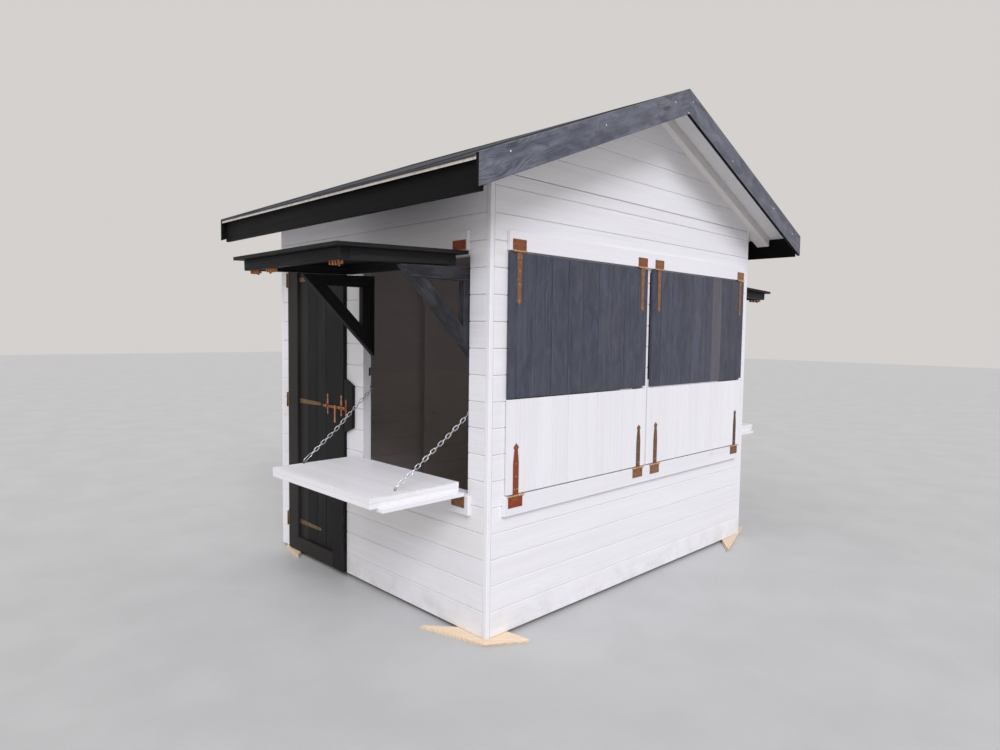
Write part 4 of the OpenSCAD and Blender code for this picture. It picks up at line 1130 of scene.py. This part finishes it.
UL_J = [b * BOARD - HW for b in (1.28, 2.30, 3.28, 4.31, 5.23, 6.32, 7.29, 8.22, 9.20)]
UR_J = [0.137, 0.267, 0.396, 0.533, 0.671, 0.810, 0.948, 1.085, 1.205]
upper_front("flap_upper_left", "upper_flap_left", "flap_ul", "flap_ul_irons", -1.268, -0.027, UL_J, FO_L, UP_X[:2],
            [0.35, 0.5, 0.42, 0.6, 0.45, 0.38, 0.62, 0.5, 0.55, 0.4], 31)
upper_front("flap_upper_right", "upper_flap_right", "flap_ur", "flap_ur_irons", 0.037, 1.286, UR_J, FO_R, UP_X[2:],
            [0.3, 0.62, 0.5, 0.40, 0.80, 0.55, 0.96, 0.35, 0.30, 0.30], 33)
LL_J = [-1.292 + 0.1115 + 0.131 * i for i in range(9)]
LR_J = [0.118 + 0.131 * i for i in range(9)]
lower_front("flap_lower_left", "lower_flap_left", "flap_ll", "flap_ll_irons", -1.269, -0.012, LL_J, FO_L, LO_X[:2], 35)
lower_front("flap_lower_right", "lower_flap_right", "flap_lr", "flap_lr_irons", 0.0, 1.284, LR_J, FO_R, LO_X[2:], 37)

# ------------------------------------------------------------------ side hatches
def awning(side):
    turn = None if side == "left" else mirror_right()
    body = side + "_awning"
    O = np.array((-HW - PIN_OUT, 0, PIN_HI))
    X = np.array((0, -1.0, 0))
    Y = np.array((math.sin(AWN), 0, math.cos(AWN)))      # towards the wall, so -Y runs out along the flap
    Z = np.array((-math.cos(AWN), 0, math.sin(AWN)))     # the flap's outer face, upwards
    P = Piece(side + "_awning_boards", 41)
    J = [-0.068 + 0.106 + 0.136 * i for i in range(7)]
    vboards(P, O - Z * 0.005, X, Y, Z, -0.068, 0.976, J, -0.767, -0.007, 0.018, "deepblack")
    batten_frame(P, O, X, Y, Z, -SO[1] + 0.006, -SO[0] - 0.006, -0.064, -0.727, 0.046, 0.0234, 0.07875, "deepblack")
    P.make(body, ["awning_" + side], turn)
    P = Piece(side + "_awning_straps", 42)
    for y in UP_Y:
        strap_hinge(P, O + X * (-y), X, Y, Z)
    zb = -0.07875
    for (a, fl) in ((0.065, 1), (0.246, -1), (0.865, 1)):
        # ornate barrel bolts under the front batten: plate, guides, bolt and knob
        c = O + X * a + Y * (-0.704) + Z * (zb - 0.0004)
        half = [(0.0545, 0.000), (0.050, 0.007), (0.044, 0.0045), (0.038, 0.012), (0.030, 0.0165), (0.022, 0.010), (0.012, 0.0085), (0.007, 0.014), (0.0, 0.0175)]
        pts = half + [(-u, v) for u, v in reversed(half[:-1])]
        pts += [(-u, -v) for u, v in half[1:]] + [(u, -v) for u, v in reversed(half[1:-1])]
        slab(P, pts, c, X, Y, -Z, 0.0022, "copper", 0.0005)
        cyl(P, c + X * (-0.050) - Z * 0.0100, c + X * 0.052 - Z * 0.0100, 0.0048, "copper", 14)
        for (e, hh) in ((-0.038, 0.0165), (-0.012, 0.0190), (0.012, 0.0190), (0.036, 0.0165)):
            slab(P, round_rect(e - 0.0045, e + 0.0045, -0.0125, 0.0125, 0.002, 2), c - Z * 0.0020, X, Y, -Z, hh, "copper", 0.0018)
            dome(P, c + X * (e + 0.009) + Y * 0.0105 - Z * 0.0020, -Z, 0.0034, 0.0018, "darkscrew", turn=e * 50)
        k = c + X * (0.023 * fl) - Z * 0.011
        cyl(P, k, k - Z * 0.0110 + Y * 0.002, 0.0036, "copper", 12)
        cyl(P, k - Z * 0.0095 + Y * 0.002, k - Z * 0.0155 + Y * 0.003, 0.0066, "copper", 14, cap=0.0022)
    P.make(body, ["awning_%s_irons" % side], turn)


def counter(side):
    turn = None if side == "left" else mirror_right()
    body = side + "_counter"
    O = np.array((-HW - PIN_OUT, 0, PIN_LO))
    X = np.array((0, 1.0, 0))
    Y = np.array((-1.0, 0, 0))         # outwards along the counter
    Z = np.array((0, 0, -1.0))         # the flap's outer face, now underneath
    P = Piece(side + "_counter_boards", 43)
    J = [-0.976 + 0.104 + 0.136 * i for i in range(7)]
    vboards(P, O + Z * -0.005, X, Y, Z, -0.976, 0.060, J, 0.022, 0.525, 0.018, "white")
    # upper layer: a batten course with level boards over it
    x0, x1 = -0.942, 0.025
    t0 = 0.0234
    ts = 0.0495
    tt = 0.076
    prism(P, O, X, Y, Z, round_rect(0.028, 0.571, -ts, -t0, 0.0022, 2), x0 + 0.0015, x1 - 0.0015, "white", n=2)
    w = (0.572 - 0.028) / 4
    for i in range(4):
        prof = board_profile(0.028 + i * w, 0.028 + (i + 1) * w, tt - ts - 0.0004, i > 0, i < 3, 0.0002, 0.00015)
        prism(P, O - Z * tt, X, Y, -Z, prof, x0, x1, "white", bev=0.0016, n=2)
    P.make(body, ["counter_" + side], turn)
    P = Piece(side + "_counter_irons", 44)
    for y in LO_Y:
        strap_hinge(P, O + X * y, X, -Y, Z, w=LOWER)
    for c in CH_Y:
        e = (-HW - CH_E[0], c[0], CH_E[1])
        tube(P, ring(e, (0, 1, 0), 0.0062), 0.0017, "brass", 8, True)
        cyl(P, (e[0], e[1], 0.8252), (e[0], e[1], e[2] - 0.0056), 0.0017, "brass", 10)
        cyl(P, (e[0], e[1], 0.8251), (e[0], e[1], 0.8262), 0.0042, "brass", 14)
    P.make(body, ["counter_%s_irons" % side], turn)


def bracket(side, i):
    turn = None if side == "left" else mirror_right()
    name = ("near", "far")[i]
    s = 1 if i == 0 else -1
    y0 = BR_Y[i]
    P = Piece("%s_%s_bracket_timbers" % (side, name), 45 + i)
    k = 0.976

    def low(u):
        return 1.506 + k * (u - 0.013)

    u0, u1, za = -0.053, 0.428, 1.859
    ub = 0.013 + (za - 1.506) / k
    top = lambda u: PIN_HI - 0.07875 * math.sin(AWN) - 0.006 - (u - PIN_OUT + 0.003) / math.tan(AWN)
    th = math.atan(k)
    ya, yb = sorted((y0 + s * 0.003, y0 + s * 0.043))

    def part(pts, A):
        # near bracket lighter, far bracket black: lit and shaded copies of one stain, the difference is painted light
        slab(P, [(-u, z) for u, z in pts], (-HW, ya, 0), (1, 0, 0), (0, 0, 1), (0, 1, 0), yb - ya, "bracket" if i == 0 else "deepblack", 0.0022,
             ((A[0], 0, A[1]), (-A[1], 0, A[0]), (0, 1, 0)))

    part([(u0, low(u0)), (0.035, low(0.035)), (0.035, za - 0.0006), (u0, za - 0.0006)], (0, 1))
    part([(u0, za), (ub, za), (u1, low(u1)), (u1, top(u1)), (u0, top(u0))], (1, 0))
    part([(0.0356, low(0.0356)), (ub - 0.0006, za - 0.0006), (ub - 0.100, za - 0.0006), (0.0356, low(0.0356) + 0.0975)],
         (-math.cos(th), math.sin(th)))
    for z in HINGE_Z:
        ys = sorted((y0 + s * 0.0016, y0 + s * 0.0028))
        timber(P, (-HW + BR_IN - 0.028, ys[0], z - 0.0145), (-HW + BR_IN - 0.001, ys[1], z + 0.0145), "brass", "z", 0.0004)
        cyl(P, (-HW + BR_IN, y0, z - 0.015), (-HW + BR_IN, y0, z + 0.015), 0.0026, "brass", 12)
    P.make("%s_%s_bracket" % (side, name), ["bracket_%s_%s" % (side, name)], turn)


def link(P, c, d, side, L=0.036, W=0.0205, r=0.0021, key="chain"):
    """One chain link: a wire bent to a long ring, centred at c, along d, flat in d and side."""
    c, d, side = (np.asarray(a, float) for a in (c, d, side))
    R = W / 2 - r
    h = L / 2 - r - R
    path = []
    for k in range(7):
        a = -math.pi / 2 + math.pi * k / 6
        path.append(c + d * (h + R * math.cos(a)) + side * (R * math.sin(a)))
    for k in range(7):
        a = math.pi / 2 + math.pi * k / 6
        path.append(c + d * (-h + R * math.cos(a)) + side * (R * math.sin(a)))
    tube(P, path, r, key, 7, True)


def chain_line(P, a, b, sag, first, pitch_want=0.0295, hook=False):
    """Links in a row from a to b, each turned a quarter from the one before. With hook the first
    is one long narrow link."""
    a, b = np.asarray(a, float), np.asarray(b, float)
    if hook:
        d = (b - a) / np.linalg.norm(b - a)
        c = a + d * 0.030
        link(P, c, d, np.cross(d, (0, 0.94, 0.34)) / np.linalg.norm(np.cross(d, (0, 0.94, 0.34))), 0.070, 0.022, 0.0019)
        a = a + d * 0.058
    L = np.linalg.norm(b - a)
    n = max(1, round(L / pitch_want))
    pitch = L / n
    d0 = (b - a) / L
    side0 = np.cross(d0, (0, 1.0, 0)); side0 /= np.linalg.norm(side0)
    if side0[2] > 0:
        side0 = -side0
    for i in range(n):
        f = (i + 0.5) / n
        c = a + (b - a) * f + np.array((0, 0, -1.0)) * sag * 4 * f * (1 - f)
        d = d0 + np.array((0, 0, -1.0)) * sag * 4 * (1 - 2 * f) / L
        d = d / np.linalg.norm(d)
        wide = np.cross(d, (-0.61, -0.77, 0.17))
        wide /= np.linalg.norm(wide)
        thin = np.cross(d, wide)
        tw = math.radians(0 if (i + first) % 2 else 84) + P.rng.uniform(-0.12, 0.12)
        side = wide * math.cos(tw) + thin * math.sin(tw)
        link(P, c, d, side, pitch + 0.0096)
    return n


def chains(side):
    turn = None if side == "left" else mirror_right()
    A = Piece(side + "_chain_outer_links", 51)
    B = Piece(side + "_chain_inner_links", 52)
    for i in (0, 1):
        c = CH_Y[i]
        e = np.array((-HW - CH_E[0], c[0], CH_E[1] + 0.003))
        zm = CH_M[1] + (-0.005 if i == 0 else 0.005)
        m = np.array((-HW - CH_M[0], (c[1] + c[2]) / 2, zm))
        u = np.array((-HW - CH_U[i][0], c[3], CH_U[i][1]))
        d = (m - e) / np.linalg.norm(m - e)
        n = chain_line(A, e + d * 0.004, m, 0.002 if i == 0 else 0.0, 0, hook=i == 1)
        d = (u - m) / np.linalg.norm(u - m)
        chain_line(B, m, u - d * 0.013, 0.005 if i == 0 else 0.0, n)
        # the last link hangs in the wall's eye and stays there
    A.make(side + "_chain_outer", ["chain_%s_a" % side], turn)
    B.make(side + "_chain_inner", ["chain_%s_b" % side], turn)


for side in ("left", "right"):
    awning(side)
    counter(side)
    bracket(side, 0)
    bracket(side, 1)
    chains(side)

# ------------------------------------------------------------------ door
P = Piece("door_boards", 61)
DX = -HW - 0.002
dj = [DOOR[0] + 0.006 + 0.1204 * (i + 1) for i in range(5)]
# front face towards -X: along = -y
vboards(P, (DX, 0, 0), (0, -1, 0), (0, 0, 1), (-1, 0, 0), -DOOR[1], -DOOR[0], sorted(-j for j in dj), DOOR[2], DOOR[3], 0.014, "deepblack", None, 0.003)
SW = 0.134
fx0, fx1 = -HW - FACE, DX - 0.0004


def dframe(y0, y1, z0, z1, axis):
    X, Y, Z = AX[axis]
    r = 0.0045
    # all corners rounded alike, 3 mm
    timber(P, (fx0, y0, z0), (fx1, y1, z1), "deepblack", axis, 0.003, n=2)


dframe(DOOR[0], DOOR[0] + SW, DOOR[2], DOOR[3], "z")
dframe(DOOR[1] - SW, DOOR[1], DOOR[2], DOOR[3], "z")
dframe(DOOR[0] + SW + 0.0004, DOOR[1] - SW - 0.0004, DOOR[2], DOOR[2] + 0.096, "y")
dframe(DOOR[0] + SW + 0.0004, DOOR[1] - SW - 0.0004, DOOR[3] - 0.096, DOOR[3], "y")
P.make("door", ["door_leaf"])

P = Piece("door_hinges_and_latch", 62)
for z in (0.237, 1.098, 1.943):
    # strap on the recessed boards
    L = 0.823 - 0.529
    pts = [(0.0, -0.016), (0.0, 0.016), (-L * 0.55, 0.0135), (-L + 0.040, 0.0115), (-L + 0.034, 0.0075), (-L + 0.028, 0.0125), (-L + 0.014, 0.0105), (-L, 0.0),
           (-L + 0.014, -0.0105), (-L + 0.028, -0.0125), (-L + 0.034, -0.0075), (-L + 0.040, -0.0115), (-L * 0.55, -0.0135)]
    slab(P, [(0.823 + a, z + b) for a, b in pts], (DX - 0.0004, 0, 0), (0, 1, 0), (0, 0, 1), (-1, 0, 0), 0.0026, "brass", 0.0006)
    for a in (0.03, 0.10, 0.17, 0.235):
        dome(P, (DX - 0.0029, 0.823 - a, z + (0.006 if a < 0.05 else 0)), (-1, 0, 0), 0.0045, 0.0018, "darkscrew", turn=a * 33)
    cyl(P, (-HW - 0.027, 0.963, z - 0.050), (-HW - 0.027, 0.963, z + 0.050), 0.0050, "brass", 18)
    for e in (-0.0516, 0.050):
        cyl(P, (-HW - 0.027, 0.963, z + e), (-HW - 0.027, 0.963, z + e + 0.0016), 0.0032, "brass", 14)
    timber(P, (-HW - 0.025, 0.942, z - 0.050), (-HW - FACE - 0.0004, 0.962, z + 0.050), "brass", "z", 0.0008)

OX = -HW - FACE - 0.0004


def guide(P, y, w, z0, z1, depth):
    """Ornate upright guide of the bolt: a plate with waists and pointed ends, and a loop over the bolt."""
    h = z1 - z0
    m = (z0 + z1) / 2
    half = [(0.0, h / 2), (w * 0.10, h / 2 - 0.006), (w * 0.50, h / 2 - 0.013), (w * 0.42, h / 2 - 0.020), (w * 0.22, h / 2 - 0.026),
            (w * 0.30, h / 2 - 0.034), (w * 0.5, h / 2 - 0.044)]
    pts = [(a, b) for a, b in half] + [(a, -b) for a, b in reversed(half)]
    pts += [(-a, -b) for a, b in half[1:]] + [(-a, b) for a, b in reversed(half[1:])]
    slab(P, [(y + a, m + b) for a, b in pts], (OX, 0, 0), (0, 1, 0), (0, 0, 1), (-1, 0, 0), 0.0030, "copper", 0.0006)
    # loop over the bar
    for zz in (1.0885, 1.1095):
        timber(P, (OX - depth, y - w * 0.34, zz), (OX - 0.002, y + w * 0.34, zz + 0.0040), "copper", "x", 0.0008)
    timber(P, (OX - depth, y - w * 0.34, 1.0885), (OX - depth + 0.003, y + w * 0.34, 1.1135), "copper", "z", 0.001)


for y in (0.246, 0.413):
    guide(P, y, 0.0200, 1.040, 1.184, 0.0176)
# double bar of the bolt
for zz in (1.0945, 1.1030):
    cyl(P, (-HW - 0.032, 0.206, zz), (-HW - 0.032, 0.452, zz), 0.0036, "copper", 12)
cyl(P, (-HW - 0.032, 0.452, 1.0925), (-HW - 0.032, 0.452, 1.1060), 0.0048, "copper", 12)
cyl(P, (-HW - 0.032, 0.297, 1.0900), (-HW - 0.032, 0.297, 1.1085), 0.0055, "copper", 12)
# handle: a flat tongue that hangs from the bar, widening to a rounded end
pts = [(-0.0095, 1.112), (0.0095, 1.112), (0.0080, 1.070), (0.0070, 1.045), (0.0085, 1.018), (0.0110, 1.008), (0.0090, 1.0015), (0.0, 1.000),
       (-0.0090, 1.0015), (-0.0110, 1.008), (-0.0085, 1.018), (-0.0070, 1.045), (-0.0080, 1.070)]
slab(P, [(0.297 + a, b) for a, b in pts], (-HW - 0.0366, 0, 0), (0, 1, 0), (0, 0, 1), (-1, 0, 0), 0.0060, "copper", 0.0014)
P.make("door", ["door_irons"])

P = Piece("door_post_irons", 63)
for z in (0.237, 1.098, 1.943):
    timber(P, (-HW - 0.003, 0.974, z - 0.050), (-HW, 1.000, z + 0.050), "brass", "z", 0.0006)
    for e in (-0.034, 0.0, 0.034):
        dome(P, (-HW - 0.003, 0.988, z + e), (-1, 0, 0), 0.0040, 0.0015, "darkscrew", turn=e * 80)
guide(P, 0.190, 0.0180, 1.040, 1.160, 0.0176)
ob = P.make("hut", ["wall_irons"])

# ------------------------------------------------------------------ stage, light and camera
def stage_floor():
    k = NT("pale_floor")
    n = k.noise(k.pos(), 2.2, 5.0, 0.55)
    f = k.noise(k.pos(), 60.0, 3.0, 0.6)
    col = k.mix(k.ramp(n, 0.3, 0.7), (0.470, 0.470, 0.473), (0.505, 0.505, 0.508))
    m = k.done(col, k.ramp(f, 0.3, 0.7, 0.42, 0.55), 0.0, k.bump(f, 0.04, 0.001), 0.4)
    me = bpy.data.meshes.new("stage_floor")
    S = 40.0
    n = 8
    V = [(-S + 2 * S * i / n, -S + 2 * S * j / n, 0.0) for i in range(n + 1) for j in range(n + 1)]
    F = [[i * (n + 1) + j, (i + 1) * (n + 1) + j, (i + 1) * (n + 1) + j + 1, i * (n + 1) + j + 1] for i in range(n) for j in range(n)]
    me.from_pydata(V, [], F)
    me.materials.append(m)
    ob = bpy.data.objects.new("stage_floor", me)
    bpy.context.scene.collection.objects.link(ob)


stage_floor()

world = bpy.data.worlds.new("studio")
bpy.context.scene.world = world
world.use_nodes = True
wt = world.node_tree
wt.nodes.clear()
wo = wt.nodes.new("ShaderNodeOutputWorld")
bg = wt.nodes.new("ShaderNodeBackground")
bg.inputs[0].default_value = (1.0, 0.965, 0.94, 1.0)
bg.inputs[1].default_value = 0.66
wt.links.new(bg.outputs[0], wo.inputs[0])


def sun(name, toward, strength, angle, color):
    """Wide, distant softbox: toward points from the hut to the light."""
    l = bpy.data.lights.new(name, "SUN")
    l.energy = strength
    l.angle = math.radians(angle)
    l.color = color
    o = bpy.data.objects.new(name, l)
    o.rotation_euler = Vector(toward).to_track_quat("Z", "Y").to_euler()
    bpy.context.scene.collection.objects.link(o)


sun("front_softbox", (-0.41, -0.68, 0.60), 1.85, 26, (0.90, 0.925, 1.0))
sun("top_softbox", (-0.58, -0.22, 0.78), 0.68, 60, (0.96, 0.97, 1.0))

cam = bpy.data.cameras.new("camera")
co = bpy.data.objects.new("camera", cam)
bpy.context.scene.collection.objects.link(co)
yaw, pitch, roll = 0.7750, -0.0610, 0.0135
r = Vector((math.cos(yaw), -math.sin(yaw), 0))
d = Vector((math.sin(yaw) * math.cos(pitch), math.cos(yaw) * math.cos(pitch), math.sin(pitch)))
u = r.cross(d)
r2 = r * math.cos(roll) + u * math.sin(roll)
u2 = -r * math.sin(roll) + u * math.cos(roll)
co.matrix_world = Matrix(((r2.x, u2.x, -d.x, -3.7277), (r2.y, u2.y, -d.y, -3.5471), (r2.z, u2.z, -d.z, 1.605), (0, 0, 0, 1)))
cam.sensor_fit = "HORIZONTAL"
cam.sensor_width = 36.0
cam.lens = 675.5 / 1000 * 36.0 * 1.0035
cam.shift_x = 0.00255
cam.shift_y = -0.00249
cam.dof.use_dof = False
bpy.context.scene.camera = co
bpy.context.scene.view_settings.view_transform = "Standard"
bpy.context.scene.view_settings.look = "None"
